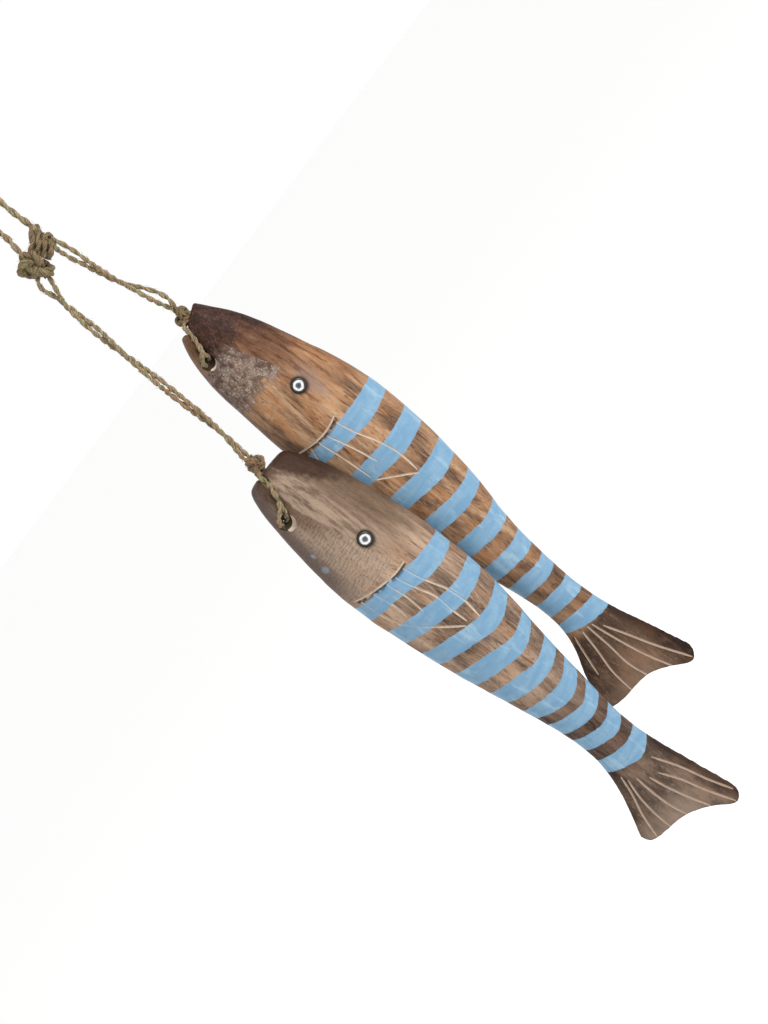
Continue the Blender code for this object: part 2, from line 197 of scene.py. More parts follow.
def pair_routes(rows):
    """The two strands of a doubled twine, which lie side by side and turn about each other."""
    rows = np.array(rows, float)
    depths = np.linspace(rows[0, 0], rows[-1, 0], 3 * len(rows))
    x, y, turned, spread = read_through(rows, depths).T
    side = np.radians(turned)
    middle = np.column_stack([x, y, -depths])
    across = np.column_stack([np.cos(side), -np.sin(side), np.zeros(len(side))]) * spread[:, None]
    return middle - across, middle + across


def mouth_route(near_route, middle, knot):
    """Down the near cheek, through the hole and up the far cheek, with both ends tucked into the knot."""
    near = [(x, middle - y, z) for x, y, z in near_route]
    far = [(x, middle + y, z) for x, y, z in reversed(near_route[:-1])]
    tuck_near, tuck_far = (Vector(end).lerp(knot, 0.45) for end in (near[0], far[-1]))
    return [tuple(tuck_near), *near, *far, tuple(tuck_far)]


def into(route, start=None, end=None):
    """A route whose ends run on into the knots they are tied in."""
    route = [Vector(p) for p in route]
    head = [route[0].lerp(start, 0.75)] if start is not None else []
    tail = [route[-1].lerp(end, 0.6)] if end is not None else []
    return [tuple(p) for p in head + route + tail]


front_left, front_right = pair_routes(FRONT_PAIR)
rear_left, rear_right = pair_routes(REAR_PAIR)
left_lump, right_lump = KNOT_LUMPS["left"], KNOT_LUMPS["right"]
cord_routes = {
    "hanging_loop": (into(LOOP_ROUTE, left_lump, right_lump), LOOP_CORD_D, "hanger"),
    "front_twine_left": (into(front_left, left_lump, snout_knot["front"]), STRAND_D, "front_line"),
    "front_twine_right": (into(front_right, left_lump, snout_knot["front"]), STRAND_D, "front_line"),
    "rear_twine_left": (into(rear_left, right_lump, snout_knot["rear"]), STRAND_D, "rear_line"),
    "rear_twine_right": (into(rear_right, right_lump, snout_knot["rear"]), STRAND_D, "rear_line"),
}
for fish, left, right_side in (
    ("front", FRONT_STRAND_LEFT, FRONT_STRAND_RIGHT), ("rear", REAR_STRAND_LEFT, REAR_STRAND_RIGHT)
):
    for side, near_route in (("left", left), ("right", right_side)):
        route = mouth_route(near_route, fish_middle[fish], snout_knot[fish])
        cord_routes[f"{fish}_mouth_strand_{side}"] = (route, STRAND_D, f"{fish}_fish")
for name, (route, diameter, body) in cord_routes.items():
    print(f"{name}: {run_along(np.array(route))[-1] / MM:.1f} mm on {body}")

# %% [markdown]
# ## Spinning the twine
# Each strand is two plies of dry seagrass laid round each other. A plain round tube would look like
# wire, so each ply is its own tube that winds round the middle line, swells and thins a little, and
# has three soft lobes for its bundles of fibre. Short loose fibres stand off it, and two numbers on
# each point say how far along and round the ply it is, which the finish follows.

# %% Twine tools
PLY_SIDES = 10
TWIST_D = 3.7  # one turn of the plies, in strand diameters
PLY_OFFSET_D = 0.205  # how far a ply's middle is from the strand's middle, in diameters
PLY_RADIUS_D = 0.265
FIBRE_EVERY = 0.0011  # along the strand, from one loose fibre to the next


def unit(vectors):
    return vectors / np.linalg.norm(vectors, axis=-1, keepdims=True)


def frames_along(points):
    """The direction of a route at each point, and two side directions that don't spin about it."""
    tangent = unit(np.gradient(points, axis=0))
    side = np.zeros_like(points)
    start = np.cross(tangent[0], (0.31, 0.87, 0.22))
    for i, direction in enumerate(tangent):
        start = start - np.dot(start, direction) * direction
        side[i] = start = unit(start)
    return tangent, side, np.cross(tangent, side)


def wander(rng, run, scale, amount):
    """A smooth random value along a run, changing over about the given distance."""
    knots = np.arange(run[0] - scale, run[-1] + 2 * scale, scale)
    return np.interp(run, knots, rng.normal(0.0, amount, len(knots)))


class Strands:
    """Collects plies and loose fibres, and makes one mesh of them."""

    def __init__(self, seed):
        self.rng = np.random.default_rng(seed)
        self.points, self.faces, self.fibre = [], [], []

    def add(self, points, faces, fibre):
        start = sum(len(p) for p in self.points)
        self.points.append(points)
        self.fibre.append(fibre)
        self.faces += [tuple(start + i for i in face) for face in faces]

    def ply(self, centre, side, other, radius, turned, along):
        rings = len(centre)
        angle = np.linspace(0.0, 2 * np.pi, PLY_SIDES, endpoint=False)[None, :]
        local = angle - turned[:, None]
        reach = radius[:, None] * (1.0 + 0.09 * np.cos(3 * local))
        out = np.cos(angle)[..., None] * side[:, None, :] + np.sin(angle)[..., None] * other[:, None, :]
        points = centre[:, None, :] + reach[..., None] * out
        fibre = np.stack(np.broadcast_arrays(np.cos(local), np.sin(local), along[:, None]), axis=-1)
        faces = [
            (i + k, i + (k + 1) % PLY_SIDES, i + PLY_SIDES + (k + 1) % PLY_SIDES, i + PLY_SIDES + k)
            for i in range(0, (rings - 1) * PLY_SIDES, PLY_SIDES) for k in range(PLY_SIDES)
        ]
        last = (rings - 1) * PLY_SIDES
        faces += [tuple(range(PLY_SIDES - 1, -1, -1)), tuple(range(last, last + PLY_SIDES))]
        self.add(points.reshape(-1, 3), faces, fibre.reshape(-1, 3))

    def loose_fibre(self, base, direction, curl, length, thick, shade):
        """A thin tapered fibre with three sides and a pointed tip."""
        across = unit(np.cross(direction, curl + 1e-6))
        lift = np.cross(across, direction)
        spokes = [across, -0.5 * across + 0.87 * lift, -0.5 * across - 0.87 * lift]
        middle = base + direction * length * 0.55 + curl * length * 0.08
        tip = base + direction * length + curl * length * 0.24
        points = [base + thick * s for s in spokes] + [middle + 0.7 * thick * s for s in spokes] + [tip]
        faces = [(2, 1, 0)]
        for k in range(3):
            n = (k + 1) % 3
            faces += [(k, n, 3 + n, 3 + k), (3 + k, 3 + n, 6)]
        self.add(np.array(points), faces, np.tile((shade, 0.4, 3.1 * shade), (7, 1)))

    def strand(self, route, diameter):
        """Two plies along a route, with loose fibres. Returns the middle line."""
        points = even_points(route, 0.24 * diameter)
        run = run_along(points)
        tangent, side, other = frames_along(points)
        twist = 2 * np.pi * run / (TWIST_D * diameter) + wander(self.rng, run, 0.010, 0.9)
        for ply in (0, 1):
            phase = twist + np.pi * ply
            swell = 1.0 + wander(self.rng, run, 0.003, 0.10)
            offset = PLY_OFFSET_D * diameter * (1.0 + wander(self.rng, run, 0.004, 0.16))
            out = np.cos(phase)[:, None] * side + np.sin(phase)[:, None] * other
            along = run / diameter + 17.0 * ply + 31.0 * self.rng.random()
            self.ply(points + offset[:, None] * out, side, other, PLY_RADIUS_D * diameter * swell,
                     2.3 * phase, along)
        self.fuzz(points, tangent, side, other, run, diameter)
        return points

    def fuzz(self, points, tangent, side, other, run, diameter):
        rng = self.rng
        for at in np.arange(0.001, run[-1] - 0.001, FIBRE_EVERY):
            i = int(np.searchsorted(run, at + rng.uniform(-0.0005, 0.0005)))
            i = min(max(i, 1), len(points) - 2)
            angle = rng.uniform(0, 2 * np.pi)
            out = math.cos(angle) * side[i] + math.sin(angle) * other[i]
            swirl = np.cross(tangent[i], out)
            rise = rng.uniform(0.08, 0.5)
            direction = unit(rng.choice((-1, 1)) * tangent[i] + rise * out + rng.uniform(-0.5, 0.5) * swirl)
            curl = unit(rng.normal(0, 1, 3))
            thick = rng.choice((0.00006, 0.0001, 0.00016), p=(0.5, 0.35, 0.15))
            self.loose_fibre(points[i] + 0.42 * diameter * out, direction, curl,
                             rng.uniform(0.0014, 0.0032), thick, rng.uniform(0, 9))

    def finish(self, name):
        mesh = bpy.data.meshes.new(name)
        mesh.from_pydata(np.vstack(self.points).tolist(), [], self.faces)
        fibre = mesh.attributes.new("fibre", "FLOAT_VECTOR", "POINT")
        fibre.data.foreach_set("vector", np.vstack(self.fibre).astype(np.float32).ravel())
        mesh.shade_smooth()
        piece = bpy.data.objects.new(name, mesh)
        bpy.context.scene.collection.objects.link(piece)
        return piece


# %% The cords themselves
cords = {}
for number, (name, (route, diameter, body)) in enumerate(cord_routes.items()):
    spun = Strands(seed=10 + number)
    middle_line = spun.strand(route, diameter)
    piece = spun.finish(f"{name}_twine")
    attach(piece, body)
    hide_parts(name)
    cords[name] = piece
    print(piece.name, len(piece.data.polygons), "faces")

# %% [markdown]
# ## Knots
# A tied knot is an overhand turn. An overhand knot closed on itself is a trefoil, which has a simple
# formula, so each snout knot is two trefoils, one inside the other, with a collar where the doubled
# twine runs in. The gathering knot is two trefoils too, with wraps below and on the other leg, and
# strands across between the legs. Each of these is a separate short strand, laid to look tied.

# %% Knot tools
def trefoil(centre, radii, tilt, flip):
    """One overhand turn inside the given radii, facing -Y, turned by tilt about Y."""
    t = np.linspace(0.15, 2 * np.pi + 0.32, 40)
    x = (np.sin(t) + 2 * np.sin(2 * t)) / 3
    z = (np.cos(t) - 2 * np.cos(2 * t)) / 3
    y = -np.sin(3 * t) * flip
    flat = np.column_stack([x * radii[0], y * radii[1], z * radii[2]])
    c, s = math.cos(tilt), math.sin(tilt)
    return np.array(centre) + flat @ np.array([[c, 0, -s], [0, 1, 0], [s, 0, c]])


def wraps(centre, radius, height, turns, lean=0.0):
    """Turns of strand round an upright line, leaning a little."""
    t = np.linspace(0.0, 2 * np.pi * turns, int(14 * turns))
    rise = height * (0.5 - t / t[-1]) + lean * np.cos(t)
    return np.array(centre) + np.column_stack([radius * np.cos(t), radius * np.sin(t), rise])


# %% Tie the snout knots
knots = {}
SNOUT_STRAND_D = 0.0034
SNOUT_KNOTS = {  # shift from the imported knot's middle, inner radii, tilt, hand
    "front": ((0.0002, 0.0, -0.0009), (0.0042, 0.0024, 0.0050), math.radians(25), 1.0),
    "rear": ((0.0002, -0.0006, -0.0022), (0.0040, 0.0027, 0.0054), math.radians(-30), -1.0),
}
for fish, (shift, radii, tilt, flip) in SNOUT_KNOTS.items():
    spun = Strands(seed=40 + len(knots))
    centre = snout_knot[fish] + Vector(shift)
    spun.strand(trefoil(centre, radii, tilt, flip), SNOUT_STRAND_D)
    inner = (radii[0] * 0.5, radii[1] * 0.6, radii[2] * 0.6)
    spun.strand(trefoil(centre, inner, tilt + 1.2, -flip), SNOUT_STRAND_D)
    spun.strand(wraps(centre + Vector((0.0003, 0, 0.0036)), 0.0019, 0.0018, 1.3), 0.0026)
    piece = spun.finish(f"{fish}_snout_tied_knot")
    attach(piece, f"{fish}_line")
    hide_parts(f"{fish}_snout_knot")
    knots[fish] = piece
    print(piece.name, len(piece.data.polygons), "faces")

# %% Tie the gathering knot
spun = Strands(seed=60)
lump = left_lump + Vector((-0.0001, 0.0, -0.0006))
spun.strand(trefoil(lump, (0.0056, 0.0031, 0.0086), math.radians(-24), 1.0), 0.0047)
inner_lump = lump + Vector((-0.0012, 0.0, 0.0006))
spun.strand(trefoil(inner_lump, (0.0026, 0.0018, 0.0044), math.radians(30), -1.0), 0.0048)
spun.strand(wraps(lump + Vector((-0.0006, 0.0, -0.0040)), 0.0030, 0.0050, 1.3, lean=-0.0012), 0.0034)
spun.strand(wraps(right_lump, 0.0019, 0.0100, 1.4, lean=0.0016), 0.0030)
WEB_STRANDS = 7
for k in range(WEB_STRANDS):
    near = -1 if k % 2 == 0 else 1
    high = Vector((0.0060, 0.0010 * near, -0.0350 - 0.0020 * k))
    low = Vector((-0.0050 + 0.0005 * k, 0.0014 * near, -0.0432 - 0.0014 * k))
    middle = high.lerp(low, 0.5) + Vector((0.0, 0.0016 * near, -0.0008))
    spun.strand([high, high.lerp(middle, 0.5), middle, middle.lerp(low, 0.5), low], 0.0031)
gathering_knot = spun.finish("gathering_tied_knot")
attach(gathering_knot, "hanger")
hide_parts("gathering_knot")
print(gathering_knot.name, len(gathering_knot.data.polygons), "faces")

# %% [markdown]
# ## Carving the fish
# A carver saws the side view out of a board, rounds it, drills the eye of the mouth, saws the mouth
# open and then draws the gills, fins and tail rays with a V-tool. The body here goes the same way:
# a ring is extruded down the fish and resized at each step, the saw cuts and the hole are Boolean
# cuts, a voxel remesh with a little smoothing sands every edge, and the V-tool lines are cut last,
# so that they stay crisp and show pale bare wood.

# %% Outlines of the fish, in millimetres: depth, belly edge x, back edge x, half thickness
OUTLINES = {
    "front": [
        (194.4, -31.5, -10.0, 4.4), (195.6, -33.6, -7.6, 5.6), (198, -35.4, -5.8, 6.8),
        (204, -38.0, -3.4, 8.6),
        (212, -40.3, -0.7, 10.6), (224, -43.0, 1.7, 12.7), (242, -46.4, 4.2, 14.7), (260, -48.7, 6.2, 15.8),
        (278, -49.2, 6.9, 16.2), (296, -48.4, 6.5, 16.0), (315, -47.0, 4.9, 15.2), (333, -45.3, 2.4, 14.1),
        (352, -43.0, -1.2, 12.8), (371, -40.4, -4.9, 11.3), (390, -38.1, -7.9, 9.9), (403, -37.2, -10.0, 8.9),
        (415, -37.6, -11.8, 7.8), (425, -39.2, -11.9, 6.6), (435, -42.1, -11.2, 5.2), (448, -48.0, -9.7, 3.9),
        (461, -55.4, -8.2, 3.0), (480, -64.0, -5.7, 2.4), (500, -72.0, -3.2, 2.0),
    ],
    "rear": [
        (116.6, 16.0, 21.8, 3.2), (118, 13.6, 23.4, 4.3), (121, 9.2, 25.2, 5.9), (124.5, 5.4, 27.0, 7.2),
        (129, 2.9, 29.3, 8.4), (134, 0.6, 32.0, 9.5), (143, -2.1, 35.2, 11.1), (155, -4.5, 38.4, 12.8),
        (167, -5.8, 41.0, 14.0), (180, -7.2, 43.7, 15.0), (196, -8.6, 46.6, 15.8), (213, -9.2, 48.1, 16.2),
        (230, -8.6, 47.8, 16.1), (250, -6.4, 46.1, 15.6), (270, -3.3, 43.5, 14.7), (289, -0.5, 39.7, 13.6),
        (308, 2.0, 34.8, 12.2), (326, 4.0, 31.9, 10.8), (340, 5.2, 30.3, 9.6), (353, 6.1, 29.2, 8.5),
        (365, 5.6, 29.0, 7.2), (377, 2.8, 29.6, 5.8), (384, -0.6, 30.7, 5.0), (390, -4.8, 31.8, 4.4),
        (397, -8.7, 33.4, 3.8), (405, -12.2, 35.3, 3.3), (420, -18.0, 38.4, 2.6), (442, -24.0, 42.0, 2.0),
    ],
}
# Mouth slot with its opening at the snout, as a closed outline (x, z). It is as narrow as its twine.
MOUTH_SLOTS = {
    "front": [
        (-21.4, -190.0), (-23.2, -194.6), (-23.6, -198.6), (-25.5, -203.4), (-27.9, -209.2), (-29.8, -213.6),
        (-31.2, -217.0), (-33.6, -216.6), (-31.9, -213.2), (-30.1, -209.8), (-27.8, -204.6), (-26.0, -199.6),
        (-26.2, -195.4), (-28.6, -190.0),
    ],
    "rear": [
        (30.0, -108.0), (25.0, -117.8), (20.6, -119.8), (15.8, -121.6), (12.7, -123.6), (11.5, -128.2),
        (9.9, -132.4), (8.4, -136.6), (7.4, -140.6), (5.0, -140.2), (6.1, -135.6), (7.6, -131.6),
        (9.2, -127.8), (9.6, -126.0), (8.4, -124.4), (5.4, -124.6), (3.0, -126.2), (-8.0, -130.0),
        (-8.0, -108.0),
    ],
}
HOLES = {"front": (-35.0, -216.8, 4.2), "rear": (4.6, -141.8, 3.9)}  # x, z, radius
# Free edge of each tail fin (x, z), then the corners that close the waste below it
TAIL_ENDS = {
    "front": (
        [
            (-62.0, -459.0), (-56.6, -461.4), (-55.9, -465.2), (-54.2, -468.6), (-50.6, -470.6),
            (-43.8, -471.9),
            (-36.6, -473.4), (-30.4, -476.2), (-24.2, -481.0), (-18.0, -487.6), (-14.2, -492.2),
            (-11.0, -493.9),
            (-7.8, -492.2), (-5.6, -488.0), (-5.0, -482.0), (0.0, -479.0),
        ],
        [(10.0, -478.0), (10.0, -520.0), (-80.0, -520.0), (-80.0, -450.0)],
    ),
    "rear": (
        [
            (-20.0, -406.6), (-14.6, -409.0), (-14.2, -412.4), (-12.6, -415.4), (-9.4, -417.1),
            (-4.0, -418.3),
            (5.8, -419.2), (14.7, -421.6), (19.6, -424.8), (24.2, -428.6), (28.0, -432.4), (31.2, -435.2),
            (34.3, -436.2), (37.2, -434.4), (39.2, -430.4), (39.8, -424.0), (45.0, -421.0),
        ],
        [(52.0, -420.0), (52.0, -460.0), (-30.0, -460.0), (-30.0, -404.0)],
    ),
}
RING_SIDES = 32
RINGS = 44
VOXEL = 0.00085
THROUGH = 0.030  # half the depth of a cut that goes right through
DRILL_SIDES = 40

# %% Tools for modelling by hand
def alone(piece):
    """Selects one piece only, as an operator acts on all that is selected."""
    bpy.ops.object.select_all(action="DESELECT")
    piece.select_set(True)
    bpy.context.view_layer.objects.active = piece


def edit(piece):
    alone(piece)
    bpy.ops.object.mode_set(mode="EDIT")
    bpy.ops.mesh.select_all(action="SELECT")


def apply_modifier(piece, kind, **settings):
    alone(piece)
    modifier = piece.modifiers.new(kind.lower(), kind)
    for key, value in settings.items():
        setattr(modifier, key, value)
    bpy.ops.object.modifier_apply(modifier=modifier.name)


def cut(piece, *cutters, material_mode="INDEX"):
    """Cuts with each cutter in turn, and removes the cutters."""
    for cutter in cutters:
        apply_modifier(piece, "BOOLEAN", operation="DIFFERENCE", object=cutter, solver="EXACT",
                       material_mode=material_mode)
        bpy.data.objects.remove(cutter)


def outline_cutter(name, outline, middle):
    """A flat outline (x, z) in millimetres, extruded right through the fish along Y."""
    bpy.ops.object.select_all(action="DESELECT")
    bpy.ops.mesh.primitive_circle_add(vertices=len(outline), fill_type="NGON", radius=1.0)
    cutter = bpy.context.object
    cutter.name = name
    for corner, (x, z) in zip(cutter.data.vertices, outline):
        corner.co = (x * MM, middle - THROUGH, z * MM)
    edit(cutter)
    bpy.ops.mesh.extrude_region_move(TRANSFORM_OT_translate={"value": (0, 2 * THROUGH, 0)})
    bpy.ops.mesh.select_all(action="SELECT")
    bpy.ops.mesh.normals_make_consistent(inside=False)
    bpy.ops.object.mode_set(mode="OBJECT")
    return cutter


def drill(name, x, z, radius, y_from, y_to):
    bpy.ops.object.select_all(action="DESELECT")
    bpy.ops.mesh.primitive_cylinder_add(
        vertices=DRILL_SIDES, radius=radius, depth=abs(y_to - y_from),
        location=(x, (y_from + y_to) / 2, z), rotation=(math.pi / 2, 0, 0),
    )
    bpy.context.object.name = name
    return bpy.context.object


# y, then the share of the hole's radius
HOLE_STEPS = [(-14.0, 1.05), (-7.5, 1.0), (-3.5, 0.28), (3.5, 0.28), (7.5, 1.0), (14.0, 1.05)]


def waisted_drill(x, z, radius, middle):
    """The twine hole, bored from both cheeks, so that it is widest at the skin and tight in the middle."""
    bpy.ops.object.select_all(action="DESELECT")
    bpy.ops.mesh.primitive_circle_add(
        vertices=DRILL_SIDES, fill_type="NGON", radius=radius * HOLE_STEPS[0][1] * MM,
        location=(x * MM, middle + HOLE_STEPS[0][0] * MM, z * MM), rotation=(math.pi / 2, 0, 0),
    )
    cutter = bpy.context.object
    bpy.ops.object.transform_apply(location=True, rotation=True, scale=False)
    edit(cutter)
    for (y, share), (next_y, next_share) in zip(HOLE_STEPS, HOLE_STEPS[1:]):
        bpy.ops.mesh.extrude_region_move(TRANSFORM_OT_translate={"value": (0, (next_y - y) * MM, 0)})
        grow = next_share / share
        bpy.ops.transform.resize(
            value=(grow, 1, grow), center_override=(x * MM, middle + next_y * MM, z * MM))
    bpy.ops.mesh.select_all(action="SELECT")
    bpy.ops.mesh.normals_make_consistent(inside=False)
    bpy.ops.object.mode_set(mode="OBJECT")
    return cutter


# %% Rough out each body by extruding a ring down the fish
def rough_body(fish):
    outline = np.array(OUTLINES[fish]) * MM
    start, end = outline[0, 0], outline[-1, 0]
    snout = start + np.array([0.0, 0.8, 2.0, 4.0, 7.0]) * MM
    depths = np.concatenate([snout, np.linspace(start + 0.012, end, RINGS)])
    belly, back, half = read_through(outline, depths).T
    middle, width = (belly + back) / 2, (back - belly) / 2
    bpy.ops.object.select_all(action="DESELECT")
    bpy.ops.mesh.primitive_circle_add(
        vertices=RING_SIDES, fill_type="NGON", radius=half[0],
        location=(middle[0], fish_middle[fish], -depths[0]),
    )
    body = bpy.context.object
    body.name = f"{fish}_fish_carved"
    bpy.ops.object.transform_apply(location=True, rotation=False, scale=False)
    edit(body)
    centre = (middle[0], fish_middle[fish], -depths[0])
    bpy.ops.transform.resize(value=(width[0] / half[0], 1, 1), center_override=centre)
    for i in range(1, len(depths)):
        step = (middle[i] - middle[i - 1], 0, depths[i - 1] - depths[i])
        bpy.ops.mesh.extrude_region_move(TRANSFORM_OT_translate={"value": step})
        centre = (middle[i], fish_middle[fish], -depths[i])
        grow = (width[i] / width[i - 1], half[i] / half[i - 1], 1)
        bpy.ops.transform.resize(value=grow, center_override=centre)
    bpy.ops.mesh.select_all(action="SELECT")
    bpy.ops.mesh.normals_make_consistent(inside=False)
    bpy.ops.object.mode_set(mode="OBJECT")
    apply_modifier(body, "SUBSURF", levels=2, render_levels=2)
    return body


def saw_and_sand(fish, body):
    middle = fish_middle[fish]
    edge, waste = TAIL_ENDS[fish]
    tail_end = [tuple(place) for place in even_points(edge, 1.2)] + waste
    x, z, radius = HOLES[fish]
    cut(
        body,
        outline_cutter("tail_waste", tail_end, middle),
        outline_cutter("mouth_saw", MOUTH_SLOTS[fish], middle),
        waisted_drill(x, z, radius, middle),
    )
    apply_modifier(body, "REMESH", mode="VOXEL", voxel_size=VOXEL, use_smooth_shade=True)
    apply_modifier(body, "SMOOTH", factor=0.5, iterations=5)
    for name, size, strength in (("broad", 0.030, 0.0009), ("knife", 0.009, 0.00030)):
        texture = bpy.data.textures.new(f"{fish}_{name}_unevenness", "CLOUDS")
        texture.noise_scale = size
        apply_modifier(body, "DISPLACE", texture=texture, strength=strength, mid_level=0.5,
                       texture_coords="LOCAL")


bodies = {}
for fish in ("front", "rear"):
    bodies[fish] = rough_body(fish)
    saw_and_sand(fish, bodies[fish])
    print(bodies[fish].name, "sanded:", len(bodies[fish].data.polygons), "faces")

# %% [markdown]
# ### V-tool lines
# Gill arcs, fin outlines and tail rays are cut about half a millimetre deep. Each line is a thin
# round cutter that follows the surface, thinner at both ends where a tool enters and leaves the
# wood. The places on the near cheek are found by looking along Y, and the far cheek mirrors them.

# %% Lines of the carving (x, z) in millimetres
ARCS = {  # gill arc and lower edge of the fin
    "front": [
        [(-46.2, -267.6), (-38.4, -270.2), (-30.0, -272.2), (-21.9, -273.6), (-15.2, -273.6)],
        [(-42.2, -290.8), (-38.2, -297.4), (-33.5, -304.1), (-28.0, -311.2), (-22.4, -318.2)],
    ],
    "rear": [
        [(-6.6, -203.2), (-0.6, -205.0), (5.4, -206.5), (11.0, -207.2), (16.6, -206.8), (21.4, -205.7)],
        [(8.2, -241.8), (12.2, -245.2), (16.4, -249.2), (20.6, -253.2), (24.2, -257.0)],
    ],
}
RAYS = {  # fin rays, then tail rays
    "front": [
        [(-44.0, -270.0), (-43.4, -283.9), (-42.4, -289.6)],
        [(-37.2, -272.0), (-35.6, -284.1), (-36.2, -292.0)],
        [(-29.4, -274.0), (-28.4, -284.2), (-29.2, -296.8)],
        [(-24.2, -275.0), (-22.3, -284.6), (-19.6, -297.6), (-20.2, -309.2), (-20.2, -317.0)],
        [(-18.4, -275.2), (-16.4, -287.1), (-13.3, -299.3), (-12.8, -310.0), (-14.6, -321.0)],
        [(-37.2, -433.7), (-40.9, -444.3), (-45.6, -454.3), (-51.0, -470.0)],
        [(-36.3, -437.5), (-39.8, -448.6), (-41.7, -459.6), (-42.6, -472.5)],
        [(-32.9, -440.5), (-33.7, -451.1), (-33.8, -462.2), (-32.1, -476.0)],
        [(-28.6, -446.0), (-27.1, -457.8), (-25.1, -467.8), (-21.2, -484.0)],
        [(-24.0, -448.3), (-20.0, -459.6), (-16.9, -473.5), (-11.6, -492.5)],
        [(-19.6, -440.0), (-14.9, -456.0), (-11.4, -473.0), (-7.6, -487.5)],
    ],
    "rear": [
        [(1.2, -207.4), (-1.4, -216.0), (-2.4, -221.0)],
        [(5.9, -208.4), (6.9, -217.8), (7.6, -229.0), (8.0, -239.6)],
        [(11.1, -209.0), (13.7, -220.6), (16.2, -236.8)],
        [(19.2, -208.6), (21.0, -219.0), (24.5, -231.6), (26.0, -243.2), (25.4, -251.6), (24.9, -255.4)],
        [(5.7, -376.0), (1.1, -388.8), (-2.4, -399.0)],
        [(10.4, -377.0), (7.3, -390.1), (3.7, -402.3), (1.6, -421.0)],
        [(14.0, -377.5), (13.0, -393.9), (11.7, -407.8), (13.4, -424.0)],
        [(16.3, -378.5), (18.2, -395.7), (20.4, -410.6), (25.2, -431.0)],
        [(19.4, -384.0), (23.4, -398.0), (27.7, -413.6), (34.8, -434.5)],
    ],
}
LINE_RADIUS = 0.00064
LINE_STEP = 0.0016
LINE_OFF = 0.00008  # how far the cutter's middle stands off the wood
OUTSIDE = 0.1  # well clear of the wood, where a look along Y starts


def surface_points(body, line, side, middle):
    """Points along a line (x, z), found on the wood by looking along Y from the given side."""
    route = even_points([(x * MM, z * MM) for x, z in line], LINE_STEP)
    found = []
    for x, z in route:
        hit, place, normal, _ = body.ray_cast(Vector((x, middle + side * OUTSIDE, z)), Vector((0, -side, 0)))
        if hit:
            found.append(place + normal * LINE_OFF)
        elif found:
            found.append(Vector((x, found[-1].y, z)))
    return found


def line_cutter(name, body, lines, middle):
    """One cutter made of many tapered tubes, on both cheeks."""
    curve = bpy.data.curves.new(name, "CURVE")
    curve.dimensions = "3D"
    curve.bevel_depth = LINE_RADIUS
    curve.bevel_resolution = 1
    curve.use_fill_caps = True
    for line in lines:
        for side in (NEAR, FAR):
            places = surface_points(body, line, side, middle)
            spline = curve.splines.new("POLY")
            spline.points.add(len(places) - 1)
            for k, (point, place) in enumerate(zip(spline.points, places)):
                from_end = min(k, len(places) - 1 - k)
                point.co = (*place, 1.0)
                point.radius = min(1.0, 0.45 + 0.2 * from_end)
    cutter = bpy.data.objects.new(name, curve)
    bpy.context.scene.collection.objects.link(cutter)
    alone(cutter)
    bpy.ops.object.convert(target="MESH")
    return bpy.context.object


# %% Cut the lines, which take a bare-wood finish from their cutter
skin = {fish: bpy.data.materials.new(f"{fish}_fish_wood") for fish in bodies}
bare = {fish: bpy.data.materials.new(f"{fish}_cut_wood") for fish in bodies}
for fish, body in bodies.items():
    middle = fish_middle[fish]
    body.data.materials.clear()
    body.data.materials.append(skin[fish])
    cutters = []
    for number, lines in enumerate((ARCS[fish], RAYS[fish])):
        cutter = line_cutter(f"v_tool_{number}", body, lines, middle)
        cutter.data.materials.append(bare[fish])
        cutters.append(cutter)
    cut(body, *cutters, material_mode="TRANSFER")
    print(body.name, "after the V-tool:", len(body.data.polygons), "faces")

# %% Chipped rims and eye sockets
CHIPS = {  # place (x, z), then half width, depth and half height, in millimetres
    "front": [((-35.2, -218.0), (5.3, 3.0, 4.1))],
    "rear": [((3.9, -143.2), (4.6, 2.0, 3.0)), ((-6.9, -181.6), (1.2, 0.9, 1.8))],
}
FEEL_BELOW = 0.3  # how far under a chip the wood is felt for, in millimetres


def chip_cutter(body, place, size, side, middle):
    """A flattened ball that takes a shallow shaving off the wood. The wood is felt for at its lower end."""
    (x, z), (half_width, depth, half_height) = place, size
    _, felt, _, _ = body.ray_cast(
        Vector((x * MM, middle + side * OUTSIDE, (z - half_height - FEEL_BELOW) * MM)), Vector((0, -side, 0)))
    centre = (x * MM, felt.y, z * MM)
    bpy.ops.object.select_all(action="DESELECT")
    bpy.ops.mesh.primitive_uv_sphere_add(segments=24, ring_count=12, radius=1.0 * MM, location=centre)
    cutter = bpy.context.object
    edit(cutter)
    bpy.ops.transform.resize(value=(half_width, depth, half_height), center_override=centre)
    bpy.ops.object.mode_set(mode="OBJECT")
    alone(cutter)
    bpy.ops.object.transform_apply(location=True, rotation=False, scale=False)
    return cutter


